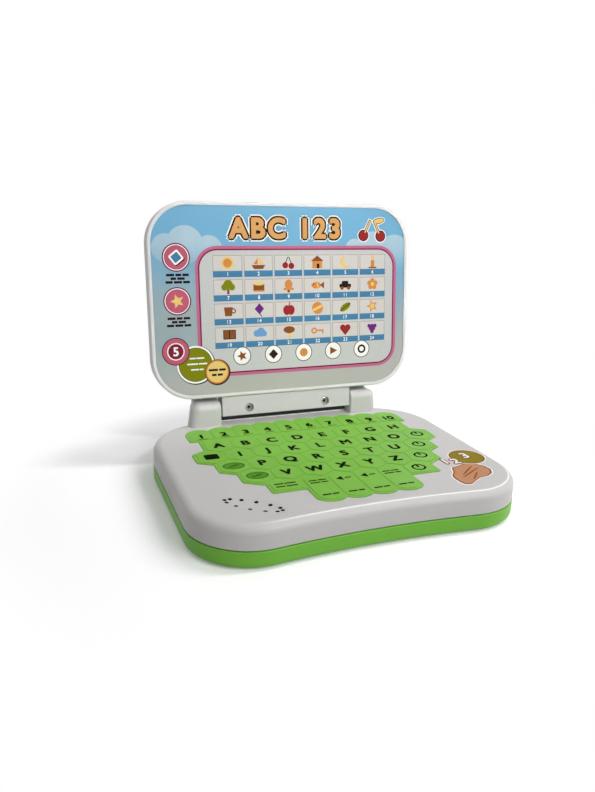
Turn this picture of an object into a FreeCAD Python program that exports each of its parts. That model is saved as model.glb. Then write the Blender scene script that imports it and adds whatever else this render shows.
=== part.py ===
"""Toy laptop computer with a hinged picture lid and a flat sheet keypad.

Millimetres, +Z up, +X to the user's right and +Y away from the user. The origin is on
the floor, under the middle of the base case.
"""
import FreeCAD
import Part
import math
import os

Vector = FreeCAD.Vector
Rotation = FreeCAD.Rotation
Placement = FreeCAD.Placement

# Base case, seen from above and from the side
BASE_WIDTH = 190.0
BASE_DEPTH = 153.0
BASE_HEIGHT = 23.4
FRONT_CORNER = 34.0
BACK_CORNER = 40.0
FRONT_WAIST = 3.4
SEAM_HEIGHT = 9.9
DECK_EDGE = 5.0
WALL = 2.2
DECK_THICKNESS = 3.0

# Bottom tray, a little wider than the deck above it
TRAY_PROUD = 0.3
TRAY_FLOOR = 2.4
TRAY_EDGE = 3.0
TRAY_RIM_EDGE = 0.5
SHADOW_GAP = 0.8
SHADOW_DEPTH = 1.2
LIP_HEIGHT = 2.0
LIP_THICKNESS = 1.2
LIP_CLEARANCE = 0.2

# Rubber feet, one in each corner of the underside and one in its middle
FOOT_RADIUS = 4.5
FOOT_PROUD = 0.6
FOOT_WELL = 0.5
FOOT_CLEARANCE = 0.1
FOOT_FROM_SIDE = 33.0
FOOT_FROM_END = 18.5

# Hinge
HINGE_SETBACK = 5.2
HINGE_RISE = 9.0
LID_OPEN = 96.7
LID_OPEN_LIMIT = 105.0
KNUCKLE_TOP = 6.6
KNUCKLE_FRONT = 7.8
KNUCKLE_INNER = 46.3
KNUCKLE_OUTER = 68.8
KNUCKLE_DRAFT = 3.2
KNUCKLE_TAPER = 8.5
KNUCKLE_ROUND = 5.0
KNUCKLE_EDGE = 1.2
KNUCKLE_ROOT = 8.0
BACKSTOP_STEP = 6.5
BACKSTOP_TOP = 17.5
BACKSTOP_THICKNESS = 2.6
BACKSTOP_CLEARANCE = 0.1
BARREL_RADIUS = 8.0
BARREL_END_GAP = 0.8
PIN_RADIUS = 2.0
PIN_RUN = 0.05
PIN_IN_KNUCKLE = 12.0
PIN_IN_BARREL = 8.0

# Lid
LID_SIDE_STEP = 5.5
LID_SHORTFALL = 30.2
LID_START = 9.3
LID_THICKNESS = 12.0
LID_CORNER = 26.0
LID_FACE = 8.0
LID_SEAM = 3.0
LID_WALL = 2.0
LID_BACK_EDGE = 4.0
LID_LIP = 2.4
LID_LIP_EDGE = 1.2
CARD_RECESS = 0.9
CARD_BACKING = 1.5
CARD_THICKNESS = 0.5
CARD_CLEARANCE = 0.15
COVER_FACE = 7.2
COVER_DROP = 3.7
COVER_GAP = 0.2
COVER_SCREW_X = 27.2
COVER_SCREW_RISE = 0.9
COVER_SCREW_SINK = 1.4

# Keypad sheet
KEYPAD_X = 1.5
LETTER_ROW_Y = 28.3
KEY_PITCH = 17.0
ROW_PITCH = 16.5
KEY_SIDE = 11.5
HEX_ROWS = (8, 9, 8, 7)
NUMBER_KEYS = 10
NUMBER_PITCH = 14.6
NUMBER_CENTRE_Y = 54.0
NUMBER_SAG = 3.8
END_KEY_IN = 2.2
END_KEY_DOWN = 1.3
END_KEY_LOW_Y = -43.5
TALL_KEYS = 4
TALL_PITCH = 14.8
TALL_TOP_Y = -33.2
TALL_LOW_Y = -57.0
TALL_CROWN = 4.0
KEY_GAP = 0.7
KEY_RISE = 0.25
SHEET_MARGIN = 1.5
SHEET_THICKNESS = 0.5
SPACER_THICKNESS = 0.3
FILM_THICKNESS = 0.25
KEYPAD_RECESS = 0.7
KEYPAD_CLEARANCE = 0.25
SPACER_HOLE_RADIUS = 5.0
TAIL_FROM_MIDDLE = 49.5
TAIL_BEHIND_LETTERS = 5.5
TAIL_WIDTH = 20.0
TAIL_CLEARANCE = 0.5
TAIL_DEPTH_IN_SOCKET = 2.0

# Speaker and its grille
SPEAKER_FROM_SIDE = 32.8
SPEAKER_FROM_FRONT = 23.0
SPEAKER_RADIUS = 16.0
SPEAKER_FLANGE = 1.0
SPEAKER_DEPTH = 7.0
SPEAKER_THROAT = 9.0
SPEAKER_SHEET = 0.8
MAGNET_RADIUS = 8.5
MAGNET_HEIGHT = 5.0
CONE_THICKNESS = 0.5
CONE_CLEARANCE = 1.6
CAP_RADIUS = 4.0
CAP_RISE = 1.0
GASKET_THICKNESS = 0.6
GASKET_WIDTH = 2.0
SPEAKER_RING = 1.6
SPEAKER_RING_DEPTH = 2.6
SPEAKER_CLEARANCE = 0.2
GRILLE_TURN = -39.0
GRILLE_LENGTH = 36.0
GRILLE_WIDTH = 14.0
GRILLE_DEPTH = 0.9
GRILLE_HOLES = 12
GRILLE_HOLE_RADIUS = 1.15
GRILLE_RING_LENGTH = 31.0
GRILLE_RING_WIDTH = 8.4

# Battery compartment, open at the underside
CELL_LENGTH = 49.2
CELL_NUB_RADIUS = 2.7
CELL_NUB_LENGTH = 1.2
CELL_COUNT = 3
CELL_SPACING = 0.8
BATTERY_Y = 0.0
CONTACT_SPACE = 3.2
CELL_CLEARANCE = 0.8
BOX_WALL = 1.5
BOX_HEADROOM = 0.9
DOOR_THICKNESS = 1.3
DOOR_SETBACK = 0.1
DOOR_CLEARANCE = 0.3
DOOR_LEDGE = 2.0
DOOR_FROM_SIDE = 7.6
DOOR_FROM_FOOT = 2.1
DOOR_LUG_WIDTH = 14.0
DOOR_CUP_WALL = 1.2
CONTACT_THICKNESS = 0.4
CONTACT_WIDTH = 9.0
CONTACT_HEIGHT = 10.0

# Circuit board
BOARD_RIGHT_OF_TAIL = 3.0
BOARD_BEFORE_TAIL = 7.0
BOARD_LENGTH = 52.0
BOARD_WIDTH = 44.0
BOARD_THICKNESS = 1.6
BOARD_RISE = 6.0
BOARD_POST_RADIUS = 3.0
BOARD_POST_INSET = 4.0
CHIP_RADIUS = 7.0
CHIP_HEIGHT = 2.0
SOCKET_LENGTH = 24.0
SOCKET_WIDTH = 5.0
SOCKET_HEIGHT = 4.0
CAPACITOR_RADIUS = 2.5
CAPACITOR_HEIGHT = 6.0
CRYSTAL_LENGTH = 6.0
CRYSTAL_WIDTH = 3.0
RESISTORS = 4
RESISTOR_LENGTH = 3.2
RESISTOR_WIDTH = 1.6
RESISTOR_HEIGHT = 0.8
RESISTOR_PITCH = 4.0

# Screws
SCREW_RADIUS = 1.3
SCREW_PLAY = 0.06
SCREW_HEAD_RADIUS = 2.5
SCREW_HEAD_HEIGHT = 1.7
SCREW_WALL = 1.5
HEAD_PLAY = 0.4
SCREW_BITE = 8.0
SMALL_SCREW_LENGTH = 6.0
COVER_SCREW_LENGTH = 8.0
DOOR_SCREW_LENGTH = 8.0
CASE_SCREW_SEAT = 5.0
CORNER_SCREW_FROM_SIDE = 17.0
CORNER_SCREW_FROM_END = 18.5
SIDE_SCREW_FROM_SIDE = 10.0
SIDE_SCREW_FROM_BOX = 1.2
FRONT_SCREW_FROM_END = 16.5
SLOT_WIDTH = 0.7
SLOT_DEPTH = 0.9

# Leads
LEAD_RADIUS = 0.7
LEAD_SPACING = 2.4
LEAD_EXIT_SHARE = 0.25
LEAD_SIDESTEP = 5.0
LEAD_BEND_SHARE = 0.45

# Worked out from the sizes above
OVERRUN = 1.0
TOUCH = 1e-4
SWEEP_FULL = 360.0
HALF_WIDTH = BASE_WIDTH / 2
HALF_DEPTH = BASE_DEPTH / 2
UNDERSIDE = FOOT_PROUD
FLOOR_TOP = UNDERSIDE + TRAY_FLOOR
MID_FLOOR = UNDERSIDE + TRAY_FLOOR / 2
CEILING = BASE_HEIGHT - DECK_THICKNESS
HINGE_Y = HALF_DEPTH - HINGE_SETBACK
HINGE_Z = BASE_HEIGHT + HINGE_RISE
LID_WIDTH = BASE_WIDTH - 2 * LID_SIDE_STEP
LID_HEIGHT = BASE_DEPTH - LID_SHORTFALL
RECESS_FLOOR = BASE_HEIGHT - KEYPAD_RECESS
BOSS_SPLIT = SEAM_HEIGHT + LIP_HEIGHT
BOSS_RADIUS = SCREW_HEAD_RADIUS + HEAD_PLAY + SCREW_WALL
LID_BACK = LID_FACE - LID_THICKNESS
BARREL_HALF = KNUCKLE_INNER - BARREL_END_GAP
BOX_ROOF = CEILING - BOX_HEADROOM - BOX_WALL
CELL_RADIUS = (BOX_ROOF - FLOOR_TOP - CELL_CLEARANCE) / 2
CELL_PITCH = 2 * CELL_RADIUS + CELL_SPACING
CELL_AXIS_Z = (FLOOR_TOP + BOX_ROOF) / 2
BOX_LENGTH = CELL_LENGTH + CELL_NUB_LENGTH + 2 * CONTACT_SPACE
BOX_WIDTH = CELL_COUNT * CELL_PITCH + CELL_CLEARANCE
DOOR_LENGTH = HALF_WIDTH - DOOR_FROM_SIDE - DOOR_FROM_FOOT - FOOT_RADIUS
DOOR_LUG = (DOOR_LENGTH - BOX_LENGTH) / 2 - DOOR_LEDGE
BATTERY_X = FOOT_RADIUS + DOOR_FROM_FOOT + DOOR_LENGTH / 2
DOOR_LOW = UNDERSIDE + DOOR_SETBACK
DOOR_TOP = DOOR_LOW + DOOR_THICKNESS
TAIL_X = KEYPAD_X - TAIL_FROM_MIDDLE
TAIL_Y = LETTER_ROW_Y + TAIL_BEHIND_LETTERS
BOARD_X = TAIL_X + BOARD_RIGHT_OF_TAIL
BOARD_Y = TAIL_Y - BOARD_BEFORE_TAIL
BOARD_LOW = FLOOR_TOP + BOARD_RISE
BOARD_TOP = BOARD_LOW + BOARD_THICKNESS
BOARD_MIDDLE = BOARD_LOW + BOARD_THICKNESS / 2
SPEAKER_X = SPEAKER_FROM_SIDE - HALF_WIDTH
SPEAKER_Y = SPEAKER_FROM_FRONT - HALF_DEPTH
SPEAKER_FRONT = CEILING - GASKET_THICKNESS
MAGNET_TOP = SPEAKER_FRONT - SPEAKER_DEPTH
DOOR_SCREW_X = BOX_LENGTH / 2 + DOOR_LEDGE + DOOR_LUG / 2
DOOR_SEAT = DOOR_LOW + HEAD_PLAY + SCREW_HEAD_HEIGHT
DOOR_CUP_TOP = DOOR_SEAT + DOOR_THICKNESS
DOOR_CUP_RADIUS = SCREW_HEAD_RADIUS + HEAD_PLAY + DOOR_CUP_WALL
DOOR_SCREW_TIP = DOOR_SEAT + DOOR_SCREW_LENGTH
CORNER_SCREW_X = HALF_WIDTH - CORNER_SCREW_FROM_SIDE
CORNER_SCREW_Y = HALF_DEPTH - CORNER_SCREW_FROM_END
SIDE_SCREW_X = HALF_WIDTH - SIDE_SCREW_FROM_SIDE
SIDE_SCREW_Y = BATTERY_Y - BOX_WIDTH / 2 - BOX_WALL - SIDE_SCREW_FROM_BOX - BOSS_RADIUS
CASE_SCREWS = (
    (-CORNER_SCREW_X, CORNER_SCREW_Y),
    (CORNER_SCREW_X, CORNER_SCREW_Y),
    (CORNER_SCREW_X, -CORNER_SCREW_Y),
    (-SIDE_SCREW_X, SIDE_SCREW_Y),
    (SIDE_SCREW_X, SIDE_SCREW_Y),
    (0.0, FRONT_SCREW_FROM_END - HALF_DEPTH),
)
FOOT_X = HALF_WIDTH - FOOT_FROM_SIDE
FOOT_Y = HALF_DEPTH - FOOT_FROM_END
FEET = ((0.0, 0.0), (-FOOT_X, -FOOT_Y), (FOOT_X, -FOOT_Y), (-FOOT_X, FOOT_Y), (FOOT_X, FOOT_Y))


def polygon_face(points):
    """Flat face through a list of corners."""
    return Part.Face(Part.makePolygon(list(points) + [points[0]]))


def block(x_low, x_high, y_low, y_high, z_low, z_high):
    """Box between two corners."""
    return Part.makeBox(x_high - x_low, y_high - y_low, z_high - z_low, Vector(x_low, y_low, z_low))


def centred_block(x, y, length, width, z_low, z_high):
    """Box centred on a point of the plan."""
    return block(x - length / 2, x + length / 2, y - width / 2, y + width / 2, z_low, z_high)


def post(x, y, radius, z_low, z_high):
    """Upright cylinder."""
    return Part.makeCylinder(radius, z_high - z_low, Vector(x, y, z_low))


def bar_along_x(radius, x_low, x_high, y, z):
    """Level cylinder along X."""
    return Part.makeCylinder(radius, x_high - x_low, Vector(x_low, y, z), Vector(1, 0, 0))


def turned(profile, x, y):
    """Solid turned about an upright axis from (radius, height) corners."""
    face = polygon_face([Vector(radius, 0, height) for radius, height in profile])
    solid = face.revolve(Vector(), Vector(0, 0, 1), SWEEP_FULL)
    solid.translate(Vector(x, y, 0))
    return solid


def joined(shapes):
    """One solid from several that touch or overlap."""
    return shapes[0].multiFuse(list(shapes[1:])).removeSplitter()


def round_level_edges(shape, height, radius):
    """Round every edge that lies level at one height."""
    edges = [edge for edge in shape.Edges
             if abs(edge.BoundBox.ZMin - height) < TOUCH and abs(edge.BoundBox.ZMax - height) < TOUCH]
    return shape.makeFillet(radius, edges)


def line_edge(start, end):
    """Straight edge between two points."""
    return Part.LineSegment(start, end).toShape()


def arc_edge(centre, radius, start, end):
    """Edge of an arc in the plan, between two angles in degrees."""
    points = []
    for angle in (start, (start + end) / 2, end):
        turn = math.radians(angle)
        points.append(centre + Vector(radius * math.cos(turn), radius * math.sin(turn), 0))
    return Part.Arc(*points).toShape()


def base_outline(inset, height):
    """Outline of the base moved in by an inset: round corners and a drawn-in front."""
    side = HALF_WIDTH - inset
    back = HALF_DEPTH - inset
    front_centre = Vector(HALF_WIDTH - FRONT_CORNER, FRONT_CORNER - HALF_DEPTH, height)
    back_centre = Vector(HALF_WIDTH - BACK_CORNER, HALF_DEPTH - BACK_CORNER, height)
    front_radius = FRONT_CORNER - inset
    back_radius = BACK_CORNER - inset
    waist_radius = front_centre.x ** 2 / (2 * FRONT_WAIST) + FRONT_WAIST / 2 - front_radius
    lean = math.degrees(math.asin(front_centre.x / (front_radius + waist_radius)))
    waist_centre = Vector(0, FRONT_WAIST - HALF_DEPTH + inset - waist_radius, height)
    left_front = Vector(-front_centre.x, front_centre.y, height)
    left_back = Vector(-back_centre.x, back_centre.y, height)
    edges = [
        line_edge(Vector(left_back.x, back, height), Vector(back_centre.x, back, height)),
        arc_edge(back_centre, back_radius, 90, 0),
        line_edge(Vector(side, back_centre.y, height), Vector(side, front_centre.y, height)),
        arc_edge(front_centre, front_radius, 0, -90 - lean),
        arc_edge(waist_centre, waist_radius, 90 - lean, 90 + lean),
        arc_edge(left_front, front_radius, lean - 90, -180),
        line_edge(Vector(-side, left_front.y, height), Vector(-side, left_back.y, height)),
        arc_edge(left_back, back_radius, 180, 90),
    ]
    return Part.Wire(edges)


def base_prism(inset, z_low, z_high):
    """Upright block with the base's outline."""
    return Part.Face(base_outline(inset, z_low)).extrude(Vector(0, 0, z_high - z_low))


def hex_face(x, y, inset):
    """Six-sided key with a corner at its top and bottom."""
    half = KEY_PITCH / 2
    peak = ROW_PITCH - KEY_SIDE / 2
    slope = (peak - KEY_SIDE / 2) / half
    peak -= inset * math.hypot(1, slope)
    half -= inset
    shoulder = peak - slope * half
    corners = [
        Vector(x, y + peak, 0),
        Vector(x + half, y + shoulder, 0),
        Vector(x + half, y - shoulder, 0),
        Vector(x, y - peak, 0),
        Vector(x - half, y - shoulder, 0),
        Vector(x - half, y + shoulder, 0),
    ]
    return polygon_face(corners)


def crowned_face(x, half, flat_y, spring_y, rise):
    """Key with a straight edge at one end and an arc of the given rise at the other."""
    left = Vector(x - half, spring_y, 0)
    right = Vector(x + half, spring_y, 0)
    crown = Part.Arc(right, Vector(x, spring_y + rise, 0), left).toShape()
    sides = Part.makePolygon([left, Vector(x - half, flat_y, 0), Vector(x + half, flat_y, 0), right])
    return Part.Face(Part.Wire(sides.Edges + [crown]))


def hex_centres():
    """Middles of the six-sided keys, row by row."""
    centres = []
    for row, count in enumerate(HEX_ROWS):
        for column in range(count):
            x = KEYPAD_X + (column - (count - 1) / 2) * KEY_PITCH
            centres.append((x, LETTER_ROW_Y - row * ROW_PITCH))
    return centres


def end_key_faces(inset):
    """Six-sided keys at the ends of the last row, cut straight along the front."""
    step = (HEX_ROWS[-1] - 2) / 2 * KEY_PITCH - END_KEY_IN
    y = LETTER_ROW_Y - len(HEX_ROWS) * ROW_PITCH - END_KEY_DOWN
    faces = []
    for x in (KEYPAD_X - step, KEYPAD_X + step):
        key = hex_face(x, y, inset).extrude(Vector(0, 0, OVERRUN))
        kept = centred_block(x, END_KEY_LOW_Y + inset + KEY_PITCH, 2 * KEY_PITCH, 2 * KEY_PITCH, 0, OVERRUN)
        faces.append(min(key.common(kept).Faces, key=lambda face: face.CenterOfMass.z))
    return faces


def number_centres():
    """Middles of the crowns of the number keys, on a shallow arch."""
    half_row = (NUMBER_KEYS - 1) / 2
    centres = []
    for key in range(NUMBER_KEYS):
        place = (key - half_row) / half_row
        sag = NUMBER_SAG * place ** 2
        centres.append((KEYPAD_X + place * half_row * NUMBER_PITCH, NUMBER_CENTRE_Y - sag))
    return centres


def tall_centres():
    """Places across the sheet of the tall keys in the last row."""
    return [KEYPAD_X + (key - (TALL_KEYS - 1) / 2) * TALL_PITCH for key in range(TALL_KEYS)]


def key_faces(inset):
    """Outlines of all keys, each moved in by an inset."""
    number_low = LETTER_ROW_Y + ROW_PITCH - KEY_SIDE / 2 + KEY_GAP + inset
    number_half = NUMBER_PITCH / 2 - inset
    tall_half = TALL_PITCH / 2 - inset
    tall_top = TALL_TOP_Y - inset
    tall_low = TALL_LOW_Y + inset
    faces = [hex_face(x, y, inset) for x, y in hex_centres()]
    faces += end_key_faces(inset)
    faces += [crowned_face(x, number_half, number_low, y, number_half) for x, y in number_centres()]
    faces += [crowned_face(x, tall_half, tall_top, tall_low, -TALL_CROWN) for x in tall_centres()]
    return faces


def sheet_web_faces():
    """Parts of the sheet between the rows of keys."""
    row_half = HEX_ROWS[0] / 2 * KEY_PITCH
    upper = [
        Vector(KEYPAD_X - row_half, LETTER_ROW_Y, 0),
        Vector(KEYPAD_X + row_half, LETTER_ROW_Y, 0),
        Vector(KEYPAD_X + row_half, NUMBER_CENTRE_Y - NUMBER_SAG, 0),
        Vector(KEYPAD_X - row_half, NUMBER_CENTRE_Y - NUMBER_SAG, 0),
    ]
    last_row_y = LETTER_ROW_Y - (len(HEX_ROWS) - 1) * ROW_PITCH
    web_half = (HEX_ROWS[-1] - 3) / 2 * KEY_PITCH
    low_y = last_row_y - ROW_PITCH - KEY_SIDE / 2
    lower = [
        Vector(KEYPAD_X - web_half, low_y, 0),
        Vector(KEYPAD_X + web_half, low_y, 0),
        Vector(KEYPAD_X + web_half, last_row_y, 0),
        Vector(KEYPAD_X - web_half, last_row_y, 0),
    ]
    return [polygon_face(upper), polygon_face(lower)]


def sheet_face(margin, height):
    """Outline of the whole keypad: its keys and the webs between them, with a margin round them."""
    tiles = [face.extrude(Vector(0, 0, OVERRUN)) for face in key_faces(0) + sheet_web_faces()]
    floor = min(joined(tiles).Faces, key=lambda face: face.CenterOfMass.z)
    outline = floor.OuterWire.makeOffset2D(margin)
    outline.translate(Vector(0, 0, height))
    return Part.Face(outline)


def sheet_prism(margin, z_low, z_high):
    """Upright block with the keypad's outline."""
    return sheet_face(margin, z_low).extrude(Vector(0, 0, z_high - z_low))


def pan_screw(length):
    """Cross-slot screw: the head's seat at zero, the head above it and the shank below."""
    head = Part.makeCylinder(SCREW_HEAD_RADIUS, SCREW_HEAD_HEIGHT)
    head = round_level_edges(head, SCREW_HEAD_HEIGHT, SCREW_HEAD_HEIGHT / 2)
    point = Part.makeCone(SCREW_RADIUS / 2, SCREW_RADIUS, SCREW_RADIUS, Vector(0, 0, -length))
    shank = post(0, 0, SCREW_RADIUS, SCREW_RADIUS - length, 0)
    slot_low = SCREW_HEAD_HEIGHT - SLOT_DEPTH
    slot_top = SCREW_HEAD_HEIGHT + OVERRUN
    slot_length = 2 * SCREW_HEAD_RADIUS - SCREW_HEAD_HEIGHT
    slot = centred_block(0, 0, slot_length, SLOT_WIDTH, slot_low, slot_top)
    cross = centred_block(0, 0, SLOT_WIDTH, slot_length, slot_low, slot_top)
    return joined([head, shank, point]).cut(slot.fuse(cross))


def screw_head_up(x, y, seat, length):
    """Screw driven from above."""
    screw = pan_screw(length)
    screw.translate(Vector(x, y, seat))
    return screw


def screw_head_down(x, y, seat, length):
    """Screw driven from below."""
    screw = pan_screw(length)
    screw.rotate(Vector(), Vector(1, 0, 0), 180)
    screw.translate(Vector(x, y, seat))
    return screw


def rounded_tube(points, radius):
    """Round lead along straight runs joined by the widest arcs that the runs allow."""
    edges = []
    start = points[0]
    for before, corner, after in zip(points, points[1:], points[2:]):
        arriving = (corner - before).normalize()
        leaving = (after - corner).normalize()
        reach = LEAD_BEND_SHARE * min((corner - before).Length, (after - corner).Length)
        first = corner - arriving * reach
        last = corner + leaving * reach
        bisector = (leaving - arriving).normalize()
        half_turn = arriving.getAngle(leaving) / 2
        bend = reach / math.tan(half_turn)
        middle = corner + bisector * (bend / math.cos(half_turn) - bend)
        edges.append(line_edge(start, first))
        edges.append(Part.Arc(first, middle, last).toShape())
        start = last
    edges.append(line_edge(start, points[-1]))
    path = Part.Wire(edges)
    section = Part.Wire(Part.Circle(points[0], points[1] - points[0], radius).toShape())
    return path.makePipeShell([section], True, False)


def case_screw_hole(x, y):
    """Room for a case screw: its head from below, and its shank as far as it bites."""
    head_room = post(x, y, SCREW_HEAD_RADIUS + HEAD_PLAY, -OVERRUN, CASE_SCREW_SEAT)
    shank_room = post(x, y, SCREW_RADIUS + SCREW_PLAY, 0, BOSS_SPLIT + SCREW_BITE)
    return head_room.fuse(shank_room)


def knuckle():
    """Right hinge knuckle: a rounded ear on the deck's back edge with a narrower backstop behind it."""
    lean = math.radians(LID_OPEN_LIMIT - 90)
    face_up = Vector(0, math.sin(lean), math.cos(lean))
    face_back = Vector(0, math.cos(lean), -math.sin(lean))
    axis = Vector(0, HINGE_Y, HINGE_Z)
    behind_lid = axis + face_back * (BACKSTOP_CLEARANCE - LID_BACK)
    stop_top = behind_lid + face_up * BACKSTOP_TOP
    back_y = stop_top.y + BACKSTOP_THICKNESS
    wall_y = HALF_DEPTH - WALL / 2
    root_z = BASE_HEIGHT - KNUCKLE_ROOT
    front_y = HINGE_Y - KNUCKLE_FRONT
    top_z = HINGE_Z + KNUCKLE_TOP
    stop_y = behind_lid.y + (top_z - behind_lid.z) * math.tan(lean)
    width = KNUCKLE_OUTER - KNUCKLE_INNER
    ear = block(0, width, front_y, wall_y, CEILING, top_z)
    draft = polygon_face([
        Vector(KNUCKLE_OUTER, 0, root_z),
        Vector(width, 0, root_z),
        Vector(width - KNUCKLE_DRAFT, 0, top_z + OVERRUN),
        Vector(KNUCKLE_OUTER, 0, top_z + OVERRUN),
    ])
    wedge = draft.extrude(Vector(0, BASE_DEPTH, 0))
    wedge.rotate(Vector(width, front_y, 0), Vector(0, 0, 1), KNUCKLE_TAPER)
    ear = ear.cut(wedge)
    rounded = []
    for edge in ear.Edges:
        box = edge.BoundBox
        at_front = box.YMax < front_y + TOUCH
        at_top = box.ZMin > top_z - TOUCH
        at_outer_end = box.XMin > width / 2
        if (at_front and at_top) or (at_outer_end and (at_front or at_top)):
            rounded.append(edge)
    ear = ear.makeFillet(KNUCKLE_ROUND, rounded)
    inner_end = [edge for edge in ear.Edges if edge.BoundBox.XMax < TOUCH
                 and edge.BoundBox.ZMax > BASE_HEIGHT + OVERRUN and edge.BoundBox.YMin < wall_y - TOUCH]
    ear = ear.makeFillet(KNUCKLE_EDGE, inner_end)
    stop_width = width - BACKSTOP_STEP
    stop = polygon_face([
        Vector(0, wall_y, top_z),
        Vector(0, wall_y, root_z),
        Vector(0, HALF_DEPTH, root_z),
        Vector(0, back_y, BASE_HEIGHT),
        Vector(0, back_y, stop_top.z),
        stop_top,
        Vector(0, stop_y, top_z),
    ]).extrude(Vector(stop_width, 0, 0))
    ends = []
    for edge in stop.Edges:
        box = edge.BoundBox
        if box.ZMax > top_z + OVERRUN and (box.XMax < TOUCH or box.XMin > stop_width - TOUCH):
            ends.append(edge)
    solid = joined([ear, stop.makeFillet(KNUCKLE_EDGE, ends)])
    solid.translate(Vector(KNUCKLE_INNER, 0, 0))
    bore_end = KNUCKLE_INNER + PIN_IN_KNUCKLE
    return solid.cut(bar_along_x(PIN_RADIUS, KNUCKLE_INNER - OVERRUN, bore_end, HINGE_Y, HINGE_Z))


def grille_cut():
    """Leaf-shaped dish over the speaker with a ring of holes along its edge."""
    dish_radius = ((GRILLE_WIDTH / 2) ** 2 + GRILLE_DEPTH ** 2) / (2 * GRILLE_DEPTH)
    end_radius = dish_radius - GRILLE_DEPTH
    half_length = GRILLE_LENGTH / 2
    hole_low = CEILING - OVERRUN
    hole_top = BASE_HEIGHT + OVERRUN
    left = Vector(-half_length, end_radius, 0)
    right = Vector(half_length, end_radius, 0)
    arc = Part.Arc(left, Vector(0, dish_radius, 0), right)
    sides = Part.makePolygon([right, Vector(half_length, 0, 0), Vector(-half_length, 0, 0), left])
    profile = Part.Face(Part.Wire(sides.Edges + [arc.toShape()]))
    dish = profile.revolve(Vector(), Vector(1, 0, 0), SWEEP_FULL)
    dish.translate(Vector(0, 0, BASE_HEIGHT + end_radius))
    holes = []
    for index in range(GRILLE_HOLES):
        turn = 2 * math.pi * index / GRILLE_HOLES
        along = GRILLE_RING_LENGTH / 2 * math.cos(turn)
        across = GRILLE_RING_WIDTH / 2 * math.sin(turn)
        holes.append(post(along, across, GRILLE_HOLE_RADIUS, hole_low, hole_top))
    cut = dish.multiFuse(holes)
    cut.rotate(Vector(), Vector(0, 0, 1), GRILLE_TURN)
    cut.translate(Vector(SPEAKER_X, SPEAKER_Y, 0))
    return cut


def make_top_case():
    """White upper shell: deck, walls, hinge knuckles, screw bosses and the speaker's ring."""
    shell = base_prism(0, SEAM_HEIGHT + SHADOW_GAP, BASE_HEIGHT)
    shell = round_level_edges(shell, BASE_HEIGHT, DECK_EDGE)
    skirt = base_prism(SHADOW_DEPTH, SEAM_HEIGHT, SEAM_HEIGHT + SHADOW_GAP)
    right = knuckle()
    left = right.mirror(Vector(), Vector(1, 0, 0))
    shell = joined([shell, skirt, right, left])
    cavity = base_prism(WALL, SEAM_HEIGHT - OVERRUN, CEILING)
    cavity = round_level_edges(cavity, CEILING, DECK_EDGE - DECK_THICKNESS)
    shell = shell.cut(cavity)
    bosses = [post(x, y, BOSS_RADIUS, BOSS_SPLIT, CEILING) for x, y in CASE_SCREWS]
    ring_radius = SPEAKER_RADIUS + SPEAKER_CLEARANCE
    ring_low = CEILING - SPEAKER_RING_DEPTH
    ring = post(SPEAKER_X, SPEAKER_Y, ring_radius + SPEAKER_RING, ring_low, CEILING)
    ring = ring.cut(post(SPEAKER_X, SPEAKER_Y, ring_radius, ring_low, CEILING))
    shell = joined([shell, ring] + bosses)
    recess = sheet_prism(SHEET_MARGIN + KEYPAD_CLEARANCE, RECESS_FLOOR, BASE_HEIGHT + OVERRUN)
    tail_slot = centred_block(TAIL_X, TAIL_Y, TAIL_WIDTH + 2 * TAIL_CLEARANCE,
                              FILM_THICKNESS + 2 * TAIL_CLEARANCE, CEILING - OVERRUN, BASE_HEIGHT)
    cuts = [recess, tail_slot, grille_cut()]
    cuts += [case_screw_hole(x, y) for x, y in CASE_SCREWS]
    return shell.cut(cuts)


def door_outline(grow, z_low, z_high):
    """Block with the battery door's plan: a plate with a screw lug at each end."""
    plate = centred_block(BATTERY_X, BATTERY_Y, BOX_LENGTH + 2 * (DOOR_LEDGE + grow),
                          BOX_WIDTH + 2 * (DOOR_LEDGE + grow), z_low, z_high)
    lugs = centred_block(BATTERY_X, BATTERY_Y, DOOR_LENGTH + 2 * grow, DOOR_LUG_WIDTH + 2 * grow,
                         z_low, z_high)
    return joined([plate, lugs])


def door_screw_places():
    """Middles of the battery door's two screws."""
    return [(BATTERY_X + side * DOOR_SCREW_X, BATTERY_Y) for side in (-1, 1)]


def board_post_places():
    """Middles of the four board posts."""
    half_length = BOARD_LENGTH / 2 - BOARD_POST_INSET
    half_width = BOARD_WIDTH / 2 - BOARD_POST_INSET
    return [(BOARD_X + i * half_length, BOARD_Y + j * half_width) for i in (-1, 1) for j in (-1, 1)]


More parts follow.
